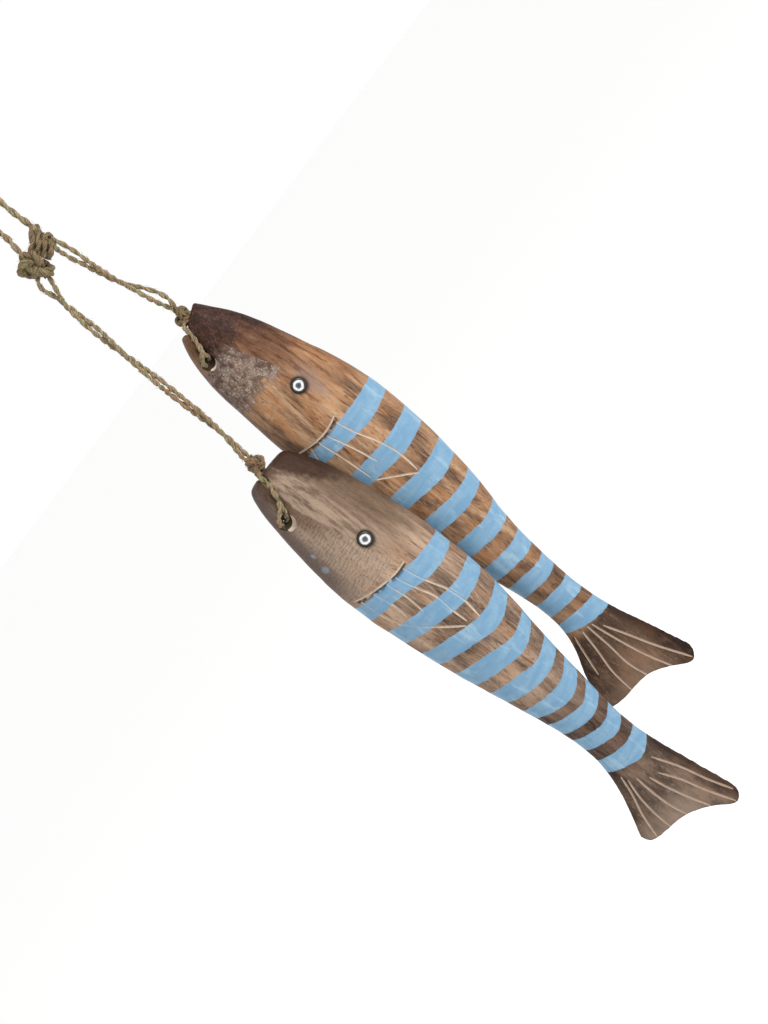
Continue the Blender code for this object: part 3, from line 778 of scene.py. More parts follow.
SOCKET_GAP = 0.00025
SOCKET_SPARE = 0.0002  # how much deeper a socket is than its eye
SOCKET_REACH = 0.012
SMOOTH_ANGLE = math.radians(38)
eye_boxes = {}
for fish, body in bodies.items():
    middle = fish_middle[fish]
    chips = []
    for place, size in CHIPS[fish]:
        chips.append(chip_cutter(body, place, size, NEAR, middle))
        chips[-1].data.materials.append(bare[fish])
    sockets = []
    for word, side in (("near", NEAR), ("far", FAR)):
        low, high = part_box(f"{fish}_{word}_eye")
        eye_boxes[fish, side] = (low, high)
        centre, radius = (low + high) / 2, (high.x - low.x) / 2
        floor_y = (high.y if side == NEAR else low.y) - side * SOCKET_SPARE
        socket = drill(
            "socket", centre.x, centre.z, radius + SOCKET_GAP, floor_y, floor_y + side * SOCKET_REACH)
        socket.data.materials.append(skin[fish])
        sockets.append(socket)
    cut(body, *chips, material_mode="TRANSFER")
    cut(body, *sockets, material_mode="TRANSFER")
    alone(body)
    bpy.ops.object.shade_smooth_by_angle(angle=SMOOTH_ANGLE)
    print(body.name, "with chips and sockets:", len(body.data.polygons), "faces")

# %% [markdown]
# ## Eyes
# Each eye is a small turned stud seated in a socket, with thick paint on it: a black rim, a white
# ring and a grey pupil. The paint lies in steps that a brush leaves, so the disc is extruded and
# resized at each step and then smoothed by a subdivision.

# %% Model one eye for each cheek
EYE_STEPS = [  # radius and height over the cheek, in millimetres
    (3.78, 0.0), (3.84, 0.42), (3.62, 0.74), (3.1, 0.93), (2.78, 0.95), (2.6, 0.86), (1.5, 1.02),
    (1.28, 1.16), (0.9, 1.2), (0.4, 1.2),
]

EYE_SEAT = 1.2  # how deep the stud sits in its socket, in millimetres


def model_eye(fish, side):
    low, high = eye_boxes[fish, side]
    centre = (low + high) / 2
    back_y = high.y if side == NEAR else low.y
    cheek_y = back_y + side * EYE_SEAT * MM
    bpy.ops.object.select_all(action="DESELECT")
    bpy.ops.mesh.primitive_circle_add(
        vertices=32, fill_type="NGON", radius=EYE_STEPS[0][0] * MM,
        location=(centre.x, back_y, centre.z), rotation=(math.pi / 2, 0, 0),
    )
    eye = bpy.context.object
    eye.name = f"{fish}_{'near' if side == NEAR else 'far'}_painted_eye"
    bpy.ops.object.transform_apply(location=True, rotation=True, scale=False)
    edit(eye)
    radius, y = EYE_STEPS[0][0], back_y
    for step_radius, height in EYE_STEPS:
        step_y = cheek_y + side * height * MM
        bpy.ops.mesh.extrude_region_move(TRANSFORM_OT_translate={"value": (0, step_y - y, 0)})
        share = step_radius / radius
        bpy.ops.transform.resize(value=(share, 1, share), center_override=(centre.x, step_y, centre.z))
        radius, y = step_radius, step_y
    bpy.ops.mesh.select_all(action="SELECT")
    bpy.ops.mesh.normals_make_consistent(inside=False)
    bpy.ops.object.mode_set(mode="OBJECT")
    apply_modifier(eye, "SUBSURF", levels=2, render_levels=2)
    eye.data.shade_smooth()
    return eye, Vector((centre.x, cheek_y, centre.z))


eyes = {}
for fish, side in eye_boxes:
    eyes[fish, side] = model_eye(fish, side)
    print(eyes[fish, side][0].name, "at", tuple(round(v / MM, 1) for v in eyes[fish, side][1]))

# %% [markdown]
# ## Marking out the paint
# The stripes were brushed round the body by hand, so their edges tilt and bow. Each edge is given
# as a depth at four places across the near side. From these, every point of the skin gets one
# number: how deep inside a stripe it lies, in millimetres, negative on bare wood. Two more numbers
# say where it lies between belly and back, and how far below the gill line.

# %% Stripe edges: depth (mm) at the belly, at 0.35 and 0.7 of the way across, and at the back
STRIPES = {  # upper edge, then lower edge
    "front": [
        (270.8, 273.0, 277.5, 279.6), (280.9, 283.3, 289.2, 288.7), (290.8, 295.2, 300.0, 300.0),
        (301.7, 306.4, 310.4, 309.2), (311.3, 316.2, 321.0, 318.9), (322.2, 326.9, 331.7, 328.2),
        (331.4, 335.6, 340.8, 338.8), (343.4, 347.2, 350.2, 346.0), (351.7, 354.9, 358.4, 355.8),
        (362.3, 366.2, 367.7, 365.2), (371.3, 373.7, 375.1, 371.2), (379.3, 383.6, 385.2, 380.8),
        (386.1, 389.5, 391.5, 387.0), (395.9, 399.2, 400.3, 397.2), (401.7, 405.1, 407.0, 404.2),
        (410.7, 414.2, 416.6, 414.5), (418.8, 421.6, 423.6, 422.3), (427.2, 432.4, 435.5, 431.5),
    ],
    "rear": [
        (208.2, 208.9, 209.5, 209.5), (216.2, 218.7, 221.7, 220.0), (229.6, 231.6, 233.4, 232.2),
        (239.8, 242.5, 245.2, 243.9), (251.8, 254.2, 256.6, 256.1), (262.6, 265.1, 268.2, 267.3),
        (273.2, 275.4, 278.1, 277.7), (284.0, 286.0, 287.8, 286.9), (294.0, 296.2, 298.3, 297.4),
        (305.2, 306.9, 308.9, 308.8), (315.0, 315.9, 317.4, 317.1), (325.2, 326.0, 327.4, 327.6),
        (332.4, 332.8, 334.7, 334.9), (342.6, 343.0, 344.2, 343.9), (350.2, 350.5, 351.6, 352.3),
        (360.2, 360.9, 362.5, 363.3), (365.8, 366.8, 368.6, 370.4), (371.8, 375.8, 379.0, 380.8),
    ],
}
ACROSS = (-1.0, -0.3, 0.4, 1.0)


def mark_out(fish, body):
    count = len(body.data.vertices)
    place = np.zeros(3 * count, np.float32)
    body.data.vertices.foreach_get("co", place)
    x, _, z = place.reshape(-1, 3).astype(float).T / MM
    outline = np.array(OUTLINES[fish])
    depth = np.clip(-z, outline[0, 0], outline[-1, 0])
    belly, back, _ = read_through(outline, depth).T
    across = np.clip((2 * x - belly - back) / (back - belly), -1.0, 1.0)
    paint = np.full(count, -50.0)
    edges = np.array(STRIPES[fish])
    for upper, lower in zip(edges[0::2], edges[1::2]):
        top = read_through(np.column_stack([ACROSS, upper]), across)[:, 0]
        bottom = read_through(np.column_stack([ACROSS, lower]), across)[:, 0]
        paint = np.maximum(paint, np.minimum(-z - top, bottom + z))
    arc = np.array(ARCS[fish][0])
    below_gill = -z + np.interp(x, arc[:, 0], arc[:, 1], left=500.0, right=500.0)
    marks = {"paint": paint, "across": across, "below_gill": np.clip(below_gill, -20.0, 20.0)}
    for name, values in marks.items():
        attribute = body.data.attributes.new(name, "FLOAT", "POINT")
        attribute.data.foreach_set("value", values.astype(np.float32))


for fish, body in bodies.items():
    mark_out(fish, body)
print("stripes, belly-to-back place and gill line marked on both fish")

# %% [markdown]
# ## Finishes
# Every finish is built from noise on the object's own coordinates, in millimetres. Grain runs down
# the fish, so its noise is stretched along Z. A few small helpers keep the node trees readable.

# %% Node helpers
def put(tree, kind, links=(), **settings):
    """Adds a node. Each link pairs an input's name or number with a value or another node's output."""
    made = tree.nodes.new(kind)
    for key, value in settings.items():
        setattr(made, key, value)
    for key, value in dict(links).items():
        if isinstance(value, bpy.types.NodeSocket):
            tree.links.new(value, made.inputs[key])
        else:
            made.inputs[key].default_value = value
    return made


def calc(tree, operation, *values):
    return put(tree, "ShaderNodeMath", dict(enumerate(values)), operation=operation).outputs[0]


def span(tree, value, low, high):
    """0 at low, 1 at high, smooth between."""
    return put(tree, "ShaderNodeMapRange", {"Value": value, "From Min": low, "From Max": high},
               interpolation_type="SMOOTHSTEP").outputs["Result"]


def noise(tree, vector, scale, stretch=(1, 1, 1), detail=3.0, roughness=0.55, shift=0.0):
    """Noise from 0 to 1. The scale is in features per millimetre; stretch divides it along each axis."""
    size = tuple(scale / s for s in stretch)
    mapped = put(tree, "ShaderNodeMapping",
                 {"Vector": vector, "Scale": size, "Location": (shift, shift * 0.7, -shift)})
    made = put(tree, "ShaderNodeTexNoise", {"Vector": mapped.outputs[0], "Scale": 1.0, "Detail": detail,
                                             "Roughness": roughness})
    return made.outputs["Fac"]


def colour_mix(tree, factor, first, second, mode="MIX"):
    made = put(tree, "ShaderNodeMix", {0: factor, 6: first, 7: second}, data_type="RGBA", blend_type=mode)
    return made.outputs[2]


def rgb(*values):
    return (*values, 1.0)


def new_group(name, inputs, outputs):
    """A shader node group with number or vector inputs and outputs."""
    group = bpy.data.node_groups.new(name, "ShaderNodeTree")
    kinds = {"value": "NodeSocketFloat", "vector": "NodeSocketVector"}
    for label, kind in inputs.items():
        group.interface.new_socket(label, in_out="INPUT", socket_type=kinds[kind])
    for label, kind in outputs.items():
        group.interface.new_socket(label, in_out="OUTPUT", socket_type=kinds[kind])
    return group, group.nodes.new("NodeGroupInput"), group.nodes.new("NodeGroupOutput")


def start_material(material):
    """The node tree of a new finish, its shader, and each point's place on the piece in millimetres."""
    material.use_nodes = True
    tree = material.node_tree
    shader = tree.nodes["Principled BSDF"]
    position = put(tree, "ShaderNodeTexCoord").outputs["Object"]
    in_mm = put(tree, "ShaderNodeVectorMath", {0: position, "Scale": 1000.0}, operation="SCALE").outputs[0]
    return tree, shader, in_mm


# %% Grain group: tone, dark streaks, light streaks, fibre and pores of oiled wood
grain_group, grain_in, grain_out = new_group(
    "wood_grain", {"Place": "vector", "Shift": "value"},
    {"Tone": "value", "Dark": "value", "Light": "value", "Fibre": "value", "Pore": "value"},
)
moved = put(grain_group, "ShaderNodeVectorMath",
            {0: grain_in.outputs["Place"], 1: grain_in.outputs["Shift"]}, operation="ADD").outputs[0]
bend = noise(grain_group, moved, 0.045, (1, 1, 2.2), detail=1.0)
bend = calc(grain_group, "MULTIPLY", calc(grain_group, "SUBTRACT", bend, 0.5), 9.0)
bent = put(grain_group, "ShaderNodeVectorMath",
           {0: moved, 1: put(grain_group, "ShaderNodeCombineXYZ", {0: bend, 1: bend}).outputs[0]},
           operation="ADD").outputs[0]
dark = noise(grain_group, bent, 0.34, (1, 1, 14), detail=5.0, roughness=0.68)
light = noise(grain_group, bent, 0.42, (1, 1, 12), detail=5.0, roughness=0.68, shift=7.0)
links = {
    "Tone": noise(grain_group, bent, 0.085, (1, 1, 5), detail=4.0, roughness=0.6),
    "Dark": span(grain_group, dark, 0.50, 0.68),
    "Light": span(grain_group, light, 0.50, 0.68),
    "Fibre": noise(grain_group, bent, 1.5, (1, 1, 20), detail=3.0, roughness=0.7),
    "Pore": span(grain_group, noise(grain_group, bent, 2.4, (1, 1, 10), detail=1.0), 0.60, 0.70),
}
for label, socket in links.items():
    grain_group.links.new(socket, grain_out.inputs[label])
print("grain group:", len(grain_group.nodes), "nodes")

# %% [markdown]
# ### Wood with stripes
# Each skin is laid up as a finisher would: oiled wood, then the marks of each head, the stained
# tail, short dark dashes under the gill and a dark ring round the eye, and the sky-blue stripes, thin
# where they are rubbed. The stripes carry painted highlight streaks, and painted shade darkens the
# wood at both edges of the body and inside the twine hole.

# %% Wood with stripes
BLUE = rgb(0.132, 0.252, 0.375)
BLUE_THIN = rgb(0.180, 0.300, 0.410)
PALE_WOOD = rgb(0.52, 0.42, 0.33)
# Dark, middle and light wood and a warm tint, then the tail's dark and light stain, worn edge and glow
PALETTES = {
    "front": (
        rgb(0.085, 0.052, 0.036), rgb(0.245, 0.160, 0.108), rgb(0.43, 0.31, 0.22), rgb(0.33, 0.185, 0.105),
        rgb(0.058, 0.038, 0.028), rgb(0.165, 0.108, 0.075), rgb(0.24, 0.185, 0.142), rgb(0.235, 0.150, 0.102),
    ),
    "rear": (
        rgb(0.075, 0.036, 0.022), rgb(0.265, 0.145, 0.078), rgb(0.44, 0.290, 0.175), rgb(0.38, 0.175, 0.070),
        rgb(0.024, 0.014, 0.010), rgb(0.078, 0.044, 0.028), rgb(0.21, 0.135, 0.090), rgb(0.225, 0.125, 0.072),
    ),
}


def attribute(tree, name):
    return put(tree, "ShaderNodeAttribute", attribute_name=name).outputs["Fac"]


def darken(tree, colour, factor, tint):
    return colour_mix(tree, factor, colour, tint, mode="MULTIPLY")


def times(tree, *values):
    result = values[0]
    for value in values[1:]:
        result = calc(tree, "MULTIPLY", result, value)
    return result


def centred(tree, value, amount):
    """Turns noise from 0 to 1 into a shift of about plus or minus a quarter of the amount."""
    return calc(tree, "MULTIPLY", calc(tree, "SUBTRACT", value, 0.5), amount)


def beside(tree, x, z, start, end):
    """Distance from the line through two places (x, z), in millimetres, positive towards the back."""
    (x0, z0), (x1, z1) = start, end
    length = math.hypot(x1 - x0, z1 - z0)
    a, b = (z0 - z1) / length, (x1 - x0) / length
    return calc(tree, "MULTIPLY_ADD", x, a, calc(tree, "MULTIPLY_ADD", z, b, -(a * x0 + b * z0)))


def spot(tree, x, z, place, size, soft=0.5, wobble=0.0):
    """1 inside an oval round a place on the side view, 0 outside."""
    dx = calc(tree, "DIVIDE", calc(tree, "SUBTRACT", x, place[0]), size[0])
    dz = calc(tree, "DIVIDE", calc(tree, "SUBTRACT", z, place[1]), size[1])
    away = calc(tree, "SQRT", calc(tree, "ADD", calc(tree, "POWER", dx, 2.0), calc(tree, "POWER", dz, 2.0)))
    return span(tree, calc(tree, "ADD", away, wobble), 1.0 + soft / 2, 1.0 - soft / 2)


def wood_base(tree, in_mm, palette, shift):
    """Colour of the oiled wood, with the grain's outputs for bump and shine."""
    group = put(tree, "ShaderNodeGroup", node_tree=grain_group)
    tree.links.new(in_mm, group.inputs["Place"])
    group.inputs["Shift"].default_value = shift
    grain = group.outputs
    dark, middle, light, warm = palette[:4]
    colour = colour_mix(tree, span(tree, grain["Tone"], 0.36, 0.56), dark, middle)
    colour = colour_mix(tree, times(tree, span(tree, grain["Tone"], 0.48, 0.66), 0.7), colour, light)
    hue = span(tree, noise(tree, in_mm, 0.11, (1, 1, 2.5), detail=3.0, shift=11.0), 0.48, 0.64)
    colour = colour_mix(tree, times(tree, hue, 0.55), colour, warm)
    colour = colour_mix(tree, times(tree, grain["Light"], 0.60), colour, light)
    colour = darken(tree, colour, times(tree, grain["Dark"], 0.85), rgb(0.36, 0.27, 0.22))
    colour = colour_mix(tree, times(tree, span(tree, grain["Fibre"], 0.40, 0.66), 0.25), colour, light)
    colour = darken(tree, colour, times(tree, grain["Pore"], 0.65), rgb(0.38, 0.30, 0.26))
    return colour, grain


def front_marks(tree, colour, in_mm, x, z, across):
    """Grey-brown head: a pale brow panel, a cross-sawn jaw, a burnt corner and two paint specks."""
    rough = noise(tree, in_mm, 0.22, detail=4.0)
    wobble = centred(tree, rough, 9.0)
    head = span(tree, calc(tree, "ADD", z, wobble), -276.0, -248.0)
    streaks = noise(tree, in_mm, 0.50, (1, 1, 13), detail=5.0, roughness=0.68, shift=3.0)
    taupe = colour_mix(
        tree, span(tree, streaks, 0.40, 0.62), rgb(0.100, 0.066, 0.045), rgb(0.265, 0.190, 0.135))
    colour = colour_mix(tree, times(tree, head, 0.78), colour, taupe)
    # the seam between the sawn jaw and the long-grained brow leans towards the back on its way down
    seam = calc(tree, "MULTIPLY_ADD", calc(tree, "MAXIMUM", calc(tree, "MULTIPLY_ADD", z, -1.0, -219.0), 0.0),
                0.19, -27.2)
    from_seam = calc(tree, "SUBTRACT", x, calc(tree, "ADD", seam, centred(tree, rough, 2.2)))
    brow = times(tree, span(tree, from_seam, -0.3, 1.6), span(tree, from_seam, 16.0, 8.0), head)
    colour = colour_mix(tree, times(tree, brow, span(tree, streaks, 0.34, 0.58), 0.45), colour,
                        rgb(0.330, 0.245, 0.180))
    jaw = times(tree, span(tree, from_seam, 0.6, -1.0), span(tree, z, -271.0, -267.0),
                span(tree, z, -206.0, -222.0))
    ripple = calc(tree, "MULTIPLY_ADD", x, -0.5, times(tree, rough, 17.0))
    ripple = calc(tree, "MULTIPLY_ADD", z, 3.3, ripple)
    broken = span(tree, noise(tree, in_mm, 0.5, detail=3.0, shift=6.0), 0.36, 0.60)
    saw = times(tree, span(tree, calc(tree, "SINE", ripple), -0.2, 0.9), jaw, broken)
    colour = colour_mix(tree, times(tree, jaw, 0.58), colour, rgb(0.335, 0.248, 0.184))
    colour = darken(tree, colour, times(tree, saw, 0.40), rgb(0.42, 0.36, 0.32))
    throat = times(tree, span(tree, from_seam, -9.0, -3.5), span(tree, from_seam, 1.2, -0.4),
                   span(tree, z, -246.0, -222.0))
    colour = darken(tree, colour, times(tree, throat, 0.75), rgb(0.38, 0.29, 0.24))
    from_corner = calc(tree, "ADD", beside(tree, x, z, (-19.5, -195.0), (-4.0, -223.0)), wobble)
    burnt = times(tree, span(tree, from_corner,
                             -2.5, 2.0), span(tree, calc(tree, "ADD", z, wobble), -240.0, -212.0))
    burnt = calc(tree, "MAXIMUM", burnt, times(tree, span(tree, z, -201.0, -194.5), 0.8))
    colour = colour_mix(tree, times(tree, burnt, 0.93), colour, rgb(0.044, 0.018, 0.010))
    back = times(tree, span(tree, across, 0.15, 0.70), head, span(tree, streaks, 0.36, 0.56))
    colour = darken(tree, colour, times(tree, back, 0.75), rgb(0.46, 0.38, 0.29))
    lip = times(tree, span(tree, across, -0.56, -0.82), head)
    colour = colour_mix(tree, times(tree, lip, 0.72), colour, rgb(0.088, 0.064, 0.058))
    for place, size in (((-42.0, -246.3), (1.5, 1.9)), ((-40.2, -237.4), (0.8, 1.2))):
        speck = spot(tree, x, z, place, size, 0.9, centred(tree, rough, 1.6))
        colour = colour_mix(tree, times(tree, speck, 0.7), colour, rgb(0.22, 0.27, 0.32))
    return colour, saw


def rear_marks(tree, colour, in_mm, x, z, across):
    """Burnt snout with pale specks, a weathered grey cheek and a warm streaky brow."""
    rough = noise(tree, in_mm, 0.20, detail=5.0, roughness=0.65)
    wobble = centred(tree, rough, 11.0)
    streaks = noise(tree, in_mm, 0.34, (1, 1, 9), detail=5.0, roughness=0.68, shift=5.0)
    specks = noise(tree, in_mm, 1.05, detail=3.0, roughness=0.7, shift=4.0)
    brow = times(tree, span(tree, z, -206.0, -186.0), span(tree, x, 14.0, 21.0))
    colour = colour_mix(tree, times(tree, brow, 0.45), colour, rgb(0.30, 0.145, 0.068))
    colour = darken(
        tree, colour, times(tree, brow, span(tree, streaks, 0.47, 0.60), 0.75), rgb(0.42, 0.27, 0.20))
    deep = times(tree, span(tree, z, -178.0, -160.0), span(tree, x, 15.0, 21.0))
    colour = darken(tree, colour, times(tree, deep, 0.85), rgb(0.42, 0.36, 0.34))
    lobe = times(tree, span(tree, beside(tree, x, z, (10.6, -124.0), (5.0, -141.0)), 0.5, -0.5),
                 span(tree, z, -150.0, -138.0))
    colour = darken(tree, colour, times(tree, lobe, 0.8), rgb(0.40, 0.34, 0.30))
    upper = calc(tree, "MULTIPLY_ADD", x, -0.30, calc(tree, "ADD", z, wobble))
    burnt = times(tree, span(tree, upper, -158.0, -147.0),
                  span(tree, beside(tree, x, z, (10.6, -124.0), (5.0, -141.0)), -0.3, 1.2))
    wavy_z = calc(tree, "ADD", z, wobble)
    back_edge = times(tree, span(tree, across, 0.40, 0.90), span(tree, wavy_z, -163.0, -146.0))
    burnt = calc(tree, "MAXIMUM", burnt, back_edge)
    mottle = noise(tree, in_mm, 0.45, (1, 1, 1.6), detail=5.0, roughness=0.7, shift=27.0)
    char = colour_mix(
        tree, span(tree, mottle, 0.40, 0.62), rgb(0.015, 0.0060, 0.0045), rgb(0.048, 0.019, 0.013))
    char = colour_mix(tree, times(tree, span(tree, specks, 0.60, 0.68), 0.5), char, rgb(0.24, 0.160, 0.145))
    colour = colour_mix(tree, times(tree, burnt, 0.93), colour, char)
    # the weathered cheek has a clean edge towards the back and a ragged one below
    blotch = noise(tree, in_mm, 0.30, (1, 1, 1.3), detail=6.0, roughness=0.72, shift=8.0)
    cheek = times(tree, span(tree, beside(tree, x, z, (17.3, -145.6), (23.0, -167.0)), 0.7, -0.7),
                  span(tree, calc(tree, "ADD", z, centred(tree, blotch, 34.0)), -172.0, -169.0),
                  span(tree, wavy_z, -139.0, -147.0))
    weathered = colour_mix(
        tree, span(tree, blotch, 0.38, 0.60), rgb(0.062, 0.038, 0.030), rgb(0.190, 0.138, 0.113))
    flecks = times(tree, span(tree, specks, 0.52, 0.62), span(tree, blotch, 0.42, 0.54), 0.85)
    weathered = colour_mix(tree, flecks, weathered, rgb(0.38, 0.325, 0.28))
    cheek = times(tree, cheek, span(tree, noise(tree, in_mm, 0.10, detail=2.0, shift=3.0), 0.18, 0.42))
    colour = colour_mix(tree, times(tree, cheek, 0.88), colour, weathered)
    eye = EYE_PLACES["rear"]
    grey = spot(tree, x, z, (eye.x + 5.5, eye.z - 4.0), (4.5, 9.0), 1.2, centred(tree, rough, 1.5))
    colour = colour_mix(tree, times(tree, grey, 0.45), colour, rgb(0.215, 0.165, 0.150))
    return colour, times(tree, cheek, blotch)


def tail_marks(tree, colour, in_mm, palette, z, across, root, end, grain):
    """A dark mottled tail with warm patches, pale towards its free edge and dark along its back edge."""
    tail = span(tree, z, -root + 3.0, -root - 5.0)
    blotch = noise(tree, in_mm, 0.16, (1, 1, 4.5), detail=5.0, roughness=0.62, shift=13.0)
    stain = colour_mix(tree, span(tree, blotch, 0.42, 0.66), palette[4], palette[5])
    colour = colour_mix(tree, times(tree, tail, 0.85), colour, stain)
    colour = darken(tree, colour, times(tree, tail, grain["Dark"], 0.6), rgb(0.45, 0.38, 0.35))
    glow = noise(tree, in_mm, 0.085, (1, 1, 1.6), detail=4.0, roughness=0.6, shift=31.0)
    glow = times(tree, span(tree, glow, 0.44, 0.64), span(tree, z, -root - 16.0, -root - 32.0), tail)
    colour = colour_mix(tree, times(tree, glow, 0.50), colour, palette[7])
    dust = noise(tree, in_mm, 0.9, (1, 1, 2), detail=3.0, roughness=0.7, shift=37.0)
    colour = colour_mix(tree, times(tree, span(tree, dust, 0.54, 0.70), tail, 0.45), colour, palette[6])
    worn = calc(
        tree, "ADD", z, calc(tree, "MULTIPLY", noise(tree, in_mm, 0.14, detail=4.0, shift=17.0), 20.0))
    worn = times(tree, span(tree, worn, -end + 28.0, -end + 6.0), span(tree, across, 0.70, 0.2))
    worn = times(tree, worn, calc(tree, "MULTIPLY_ADD", blotch, -0.7, 1.0), 0.80)
    colour = colour_mix(tree, worn, colour, palette[6])
    back_edge = times(tree, span(tree, across, 0.62, 0.92), tail)
    return darken(tree, colour, times(tree, back_edge, 0.85), rgb(0.36, 0.27, 0.24))


PAINT_EDGE = 0.16  # half the width of the soft edge of the paint, in millimetres


def stripe_mask(tree, in_mm):
    """1 under the paint. The brushed edge wavers by a few tenths of a millimetre."""
    waver = centred(tree, noise(tree, in_mm, 0.30, detail=2.0), 1.5)
    ragged = centred(tree, noise(tree, in_mm, 1.9, (1, 1, 3)), 0.5)
    depth = calc(tree, "ADD", calc(tree, "ADD", attribute(tree, "paint"), waver), ragged)
    return span(tree, depth, -PAINT_EDGE, PAINT_EDGE), depth


MARKS = {"front": front_marks, "rear": rear_marks}
TAIL_DEPTHS = {"front": (432.0, 470.0), "rear": (377.0, 418.0)}
EYE_PLACES = {fish: eyes[fish, NEAR][1] / MM for fish in bodies}


def finish_skin(fish, shift):
    palette = PALETTES[fish]
    tree, shader, in_mm = start_material(skin[fish])
    parts = put(tree, "ShaderNodeSeparateXYZ", {0: in_mm})
    x, z = parts.outputs["X"], parts.outputs["Z"]
    across = attribute(tree, "across")
    colour, grain = wood_base(tree, in_mm, palette, shift)
    # wood between the last stripes is darker, and the wood at both edges of the body gets a little painted
    # shade, as a rounded body turned from the light would show
    root, end = TAIL_DEPTHS[fish]
    toward_tail = span(tree, z, -root + 90.0, -root + 25.0)
    colour = darken(
        tree, colour, times(tree, toward_tail, {"front": 0.95, "rear": 0.45}[fish]), rgb(0.34, 0.31, 0.33))
    colour, relief = MARKS[fish](tree, colour, in_mm, x, z, across)
    colour = tail_marks(tree, colour, in_mm, palette, z, across, root, end, grain)
    # painted shade: the outer quarter of the wood towards belly and back is darkened
    rim = span(tree, calc(tree, "ABSOLUTE", across), 0.74, 1.0)
    colour = darken(tree, colour, times(tree, rim, 0.50), rgb(0.46, 0.40, 0.38))
    # short dark dashes just under the gill line, and a dark ring round the eye
    gill = attribute(tree, "below_gill")
    dashes = span(tree, noise(tree, in_mm, 0.42, (1, 1, 1), detail=2.0, shift=9.0), 0.38, 0.54)
    dark_gill_dashes = times(tree, span(tree, gill, 0.2, 0.8), span(tree, gill, 3.8, 1.2), dashes)
    eye = EYE_PLACES[fish]
    dark_eye_ring = spot(tree, x, z, (eye.x + 0.4, eye.z - 0.5), (4.5, 4.8), 0.45)
    # painted shade inside the twine hole: the wood within the hole's outline is darkened
    hole_x, hole_z, hole_radius = HOLES[fish]
    inside = spot(tree, x, z, (hole_x, hole_z), (hole_radius, hole_radius), 0.1)
    # the stripes
    mask, depth = stripe_mask(tree, in_mm)
    brush = noise(tree, in_mm, 0.30, (5, 1, 1), detail=4.0, shift=2.0)
    # painted highlight: lighter blue streaks along the fish stand in for gloss highlights on the paint
    sheen = noise(tree, in_mm, 0.20, (1, 1, 4), detail=2.0, shift=15.0)
    blue = colour_mix(tree, span(tree, brush, 0.32, 0.70), BLUE, BLUE_THIN)
    blue = colour_mix(tree, times(tree, span(tree, sheen, 0.56, 0.70), 0.5), blue, rgb(0.29, 0.42, 0.51))
    rubbed = times(tree, grain["Pore"], span(tree, brush, 0.45, 0.62), 0.35)
    thin_edge = times(tree, span(tree, depth, 0.9, 0.0), span(tree, grain["Fibre"], 0.44, 0.6), 0.35)
    painted = times(tree, mask, calc(tree, "SUBTRACT", 1.0, calc(tree, "MAXIMUM", rubbed, thin_edge)))
    colour = colour_mix(tree, painted, colour, blue)
    # painted shade inside the twine hole
    colour = darken(tree, colour, inside, rgb(0.30, 0.29, 0.24))
    black = calc(tree, "MAXIMUM", times(tree, dark_gill_dashes, 0.88), times(tree, dark_eye_ring, 0.88))
    colour = colour_mix(tree, black, colour, rgb(0.022, 0.016, 0.013))
    tree.links.new(colour, shader.inputs["Base Color"])
    # shine and relief
    wood_rough = calc(tree, "MULTIPLY_ADD", grain["Fibre"], 0.28, 0.40)
    paint_rough = calc(tree, "MULTIPLY_ADD", brush, 0.18, 0.27)
    rough = put(tree, "ShaderNodeMix", {0: mask, 2: wood_rough, 3: paint_rough}, data_type="FLOAT").outputs[0]
    tree.links.new(rough, shader.inputs["Roughness"])
    wood_height = calc(tree, "MULTIPLY_ADD", grain["Fibre"], 0.30, times(tree, grain["Pore"], -0.22))
    wood_height = calc(tree, "MULTIPLY_ADD", relief, -0.40, wood_height)
    keep = calc(tree, "MULTIPLY_ADD", mask, -0.65, 1.0)
    height = calc(tree, "MULTIPLY_ADD", wood_height, keep, times(tree, mask, 0.16))
    height = calc(tree, "ADD", height, times(tree, brush, mask, 0.12))
    bump = put(tree, "ShaderNodeBump", {"Strength": 0.9, "Distance": 0.0006, "Height": height})
    tree.links.new(bump.outputs[0], shader.inputs["Normal"])
    shader.inputs["Specular IOR Level"].default_value = 0.12
    return len(tree.nodes)


def finish_cut(fish):
    """Fresh wood in the V-tool lines, with thin blue in it where a stripe was brushed over."""
    tree, shader, in_mm = start_material(bare[fish])
    fleck = noise(tree, in_mm, 0.8, (1, 1, 4), detail=3.0)
    colour = colour_mix(tree, span(tree, fleck, 0.30, 0.58), rgb(0.40, 0.305, 0.225), PALE_WOOD)
    mask, _ = stripe_mask(tree, in_mm)
    filled = times(
        tree, mask, span(tree, noise(tree, in_mm, 0.25, detail=2.0), 0.30, 0.44), PAINT_IN_LINES[fish])
    colour = colour_mix(tree, filled, colour, rgb(0.24, 0.37, 0.49))
    # handling has greyed the tail's rays
    z = put(tree, "ShaderNodeSeparateXYZ", {0: in_mm}).outputs["Z"]
    root, _ = TAIL_DEPTHS[fish]
    darkening = times(
        tree, span(tree, z, -root + 4.0, -root - 8.0), calc(tree, "MULTIPLY_ADD", fleck, 0.8, 0.35))
    colour = darken(tree, colour, darkening, rgb(0.66, 0.58, 0.55))
    tree.links.new(colour, shader.inputs["Base Color"])
    bump = put(tree, "ShaderNodeBump", {"Strength": 0.5, "Distance": 0.0003, "Height": fleck})
    tree.links.new(bump.outputs[0], shader.inputs["Normal"])
    shader.inputs["Roughness"].default_value = 0.75
    return len(tree.nodes)


PAINT_IN_LINES = {"front": 0.88, "rear": 0.40}
for number, fish in enumerate(bodies):
    print(fish, "skin:", finish_skin(fish, 40.0 * number), "nodes; cut wood:", finish_cut(fish), "nodes")
